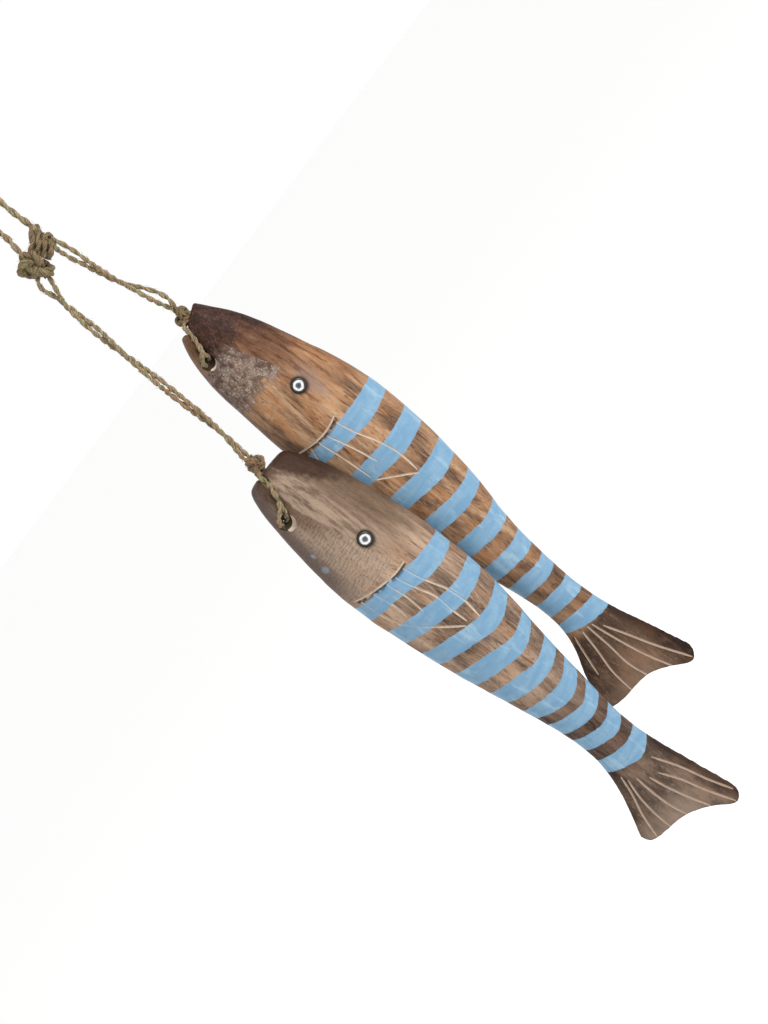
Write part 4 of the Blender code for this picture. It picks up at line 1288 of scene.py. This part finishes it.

# %% [markdown]
# ### Twine finish
# Dry seagrass is olive along the stem and rusty in places. Painted highlight turns the raised
# fibre lines straw-coloured, and painted shade turns the valleys between them dark brown. The colour
# follows the ply: fine lines run along it, and patches change every few turns.

# %% Twine
def finish_twine(name, darkening):
    """Twine in the knots is darkened, partly as painted shade for knots that lie in shade and partly as
    browner twine.
    """
    material = bpy.data.materials.new(name)
    tree, shader, in_mm = start_material(material)
    fibre = put(tree, "ShaderNodeAttribute", attribute_name="fibre").outputs["Vector"]
    lines = noise(tree, fibre, 3.2, (1, 1, 8), detail=4.0, roughness=0.7)
    patches = noise(tree, fibre, 0.8, (1, 1, 1.2), detail=3.0, shift=5.0)
    rust = noise(tree, in_mm, 0.16, detail=3.0, shift=21.0)
    olive = noise(tree, in_mm, 0.13, detail=3.0, shift=33.0)
    colour = colour_mix(
        tree, span(tree, patches, 0.36, 0.62), rgb(0.115, 0.078, 0.033), rgb(0.290, 0.220, 0.118))
    colour = colour_mix(
        tree, times(tree, span(tree, rust, 0.50, 0.62), 0.75), colour, rgb(0.250, 0.125, 0.062))
    colour = colour_mix(
        tree, times(tree, span(tree, olive, 0.52, 0.64), 0.65), colour, rgb(0.170, 0.165, 0.066))
    # painted highlight on the raised fibre lines, then painted shade in the valleys between them
    colour = colour_mix(
        tree, times(tree, span(tree, lines, 0.52, 0.66), 0.95), colour, rgb(0.55, 0.475, 0.320))
    colour = colour_mix(tree, span(tree, lines, 0.47, 0.33), colour, rgb(0.050, 0.033, 0.014))
    # painted shade: twine in the knots is darkened, partly as shade where the knots lie and partly as browner
    # twine
    knot_shade_and_brown = times(tree, calc(tree, "MULTIPLY_ADD", patches, 0.6, 0.7), darkening)
    colour = darken(tree, colour, knot_shade_and_brown, rgb(0.45, 0.35, 0.26))
    tree.links.new(colour, shader.inputs["Base Color"])
    bump = put(tree, "ShaderNodeBump", {"Strength": 0.9, "Distance": 0.0004, "Height": lines})
    tree.links.new(bump.outputs[0], shader.inputs["Normal"])
    shader.inputs["Roughness"].default_value = 0.82
    shader.inputs["Specular IOR Level"].default_value = 0.25
    shader.inputs["Sheen Weight"].default_value = 0.10
    return material


twine_finish = finish_twine("dry_seagrass", 0.0)
# the knots' twine is darker: partly painted shade, partly browner twine
knot_twine_finish = finish_twine("shaded_brown_knot_seagrass", 0.55)
for piece in cords.values():
    piece.data.materials.append(twine_finish)
for piece in [*knots.values(), gathering_knot]:
    piece.data.materials.append(knot_twine_finish)

# %% Eye paint
def finish_eye(fish, side):
    """Black rim, white ring and grey pupil, a little out of true as a brush leaves them."""
    eye, centre = eyes[fish, side]
    material = bpy.data.materials.new(f"{eye.name}_finish")
    tree, shader, in_mm = start_material(material)
    centre = centre / MM
    parts = put(tree, "ShaderNodeSeparateXYZ", {0: in_mm})
    dx = calc(tree, "SUBTRACT", parts.outputs["X"], centre.x)
    dz = calc(tree, "SUBTRACT", parts.outputs["Z"], centre.z)
    waver = noise(tree, in_mm, 0.45, detail=2.0)
    away = calc(tree, "SQRT", calc(tree, "ADD", calc(tree, "POWER", dx, 2.0), calc(tree, "POWER", dz, 2.0)))
    away = calc(tree, "ADD", away, centred(tree, waver, 1.0))
    white = colour_mix(tree, span(tree, noise(tree, in_mm, 0.9), 0.35, 0.62), rgb(0.46, 0.47, 0.48),
                       rgb(0.68, 0.68, 0.67))
    pupil = colour_mix(tree, span(tree, away, 0.2, 0.9), rgb(0.022, 0.025, 0.030), rgb(0.075, 0.085, 0.095))
    colour = colour_mix(tree, span(tree, away, 1.62, 1.30), white, pupil)
    colour = colour_mix(tree, span(tree, away, 2.50, 2.85), colour, rgb(0.012, 0.011, 0.010))
    tree.links.new(colour, shader.inputs["Base Color"])
    bump = put(tree, "ShaderNodeBump", {"Strength": 0.4, "Distance": 0.0003, "Height": waver})
    tree.links.new(bump.outputs[0], shader.inputs["Normal"])
    shader.inputs["Roughness"].default_value = 0.36
    eye.data.materials.append(material)


for fish, side in eyes:
    finish_eye(fish, side)
print("materials:", len(bpy.data.materials))

# %% [markdown]
# ## Riding on the frame
# Each new piece is tied to the body it moves with, and the plain solid it stands for is hidden.

# %% Ride and replace
for fish, body in bodies.items():
    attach(body, f"{fish}_fish")
    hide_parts(f"{fish}_fish_body")
for (fish, side), (eye, _) in eyes.items():
    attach(eye, f"{fish}_fish")
    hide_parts(f"{fish}_{'near' if side == NEAR else 'far'}_eye")

# %% [markdown]
# ## Stage
# A plain pale floor well below the tails, a soft white room, and one soft light above and in front, on
# the side of the fishes' backs, with a larger and weaker one behind.

# %% Floor and light
FLOOR_DROP = 0.12
FLOOR_RADIUS = 30.0
bpy.ops.object.select_all(action="DESELECT")
bpy.ops.mesh.primitive_circle_add(
    vertices=96, radius=FLOOR_RADIUS, fill_type="NGON", location=(0, 0, cad_low.z - FLOOR_DROP))
floor = bpy.context.object
floor.name = "floor"
floor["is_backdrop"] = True
floor_finish = bpy.data.materials.new("pale_floor")
_, shader, _ = start_material(floor_finish)
shader.inputs["Base Color"].default_value = rgb(0.975, 0.975, 0.97)
shader.inputs["Roughness"].default_value = 0.9
floor.data.materials.append(floor_finish)

world = bpy.data.worlds.new("soft_room")
bpy.context.scene.world = world
world.use_nodes = True
world.node_tree.nodes["Background"].inputs["Color"].default_value = rgb(1, 1, 1)
world.node_tree.nodes["Background"].inputs["Strength"].default_value = 1.0
bpy.context.scene.view_settings.view_transform = "Standard"


def soft_light(name, place, aim, size, power):
    light = bpy.data.lights.new(name, "AREA")
    light.shape = "DISK"
    light.size = size
    light.energy = power
    lamp = bpy.data.objects.new(name, light)
    bpy.context.scene.collection.objects.link(lamp)
    lamp.location = place
    lamp.rotation_euler = (Vector(aim) - Vector(place)).to_track_quat("-Z", "Y").to_euler()


MIDDLE = (0.0, 0.0, -0.25)
soft_light("key_softbox", (0.85, -0.80, 0.30), MIDDLE, 0.45, 12.0)
soft_light("back_softbox", (-0.7, 0.9, 0.2), MIDDLE, 0.9, 3.0)
print("stage ready")

# %% [markdown]
# ## Sizes and finish
# The boxes of the imported model and of the visual model are printed; loose fibres may reach a few
# millimetres past the first. The visual model must stay inside the imported model's box, apart from
# a few millimetres of fibre.

# %% Print both boxes
low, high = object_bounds()
sizes = {"cad": [list(cad_low), list(cad_high)], "visual": [list(low), list(high)]}
for label, corners in sizes.items():
    print(label, [[round(v / MM, 1) for v in corner] for corner in corners])
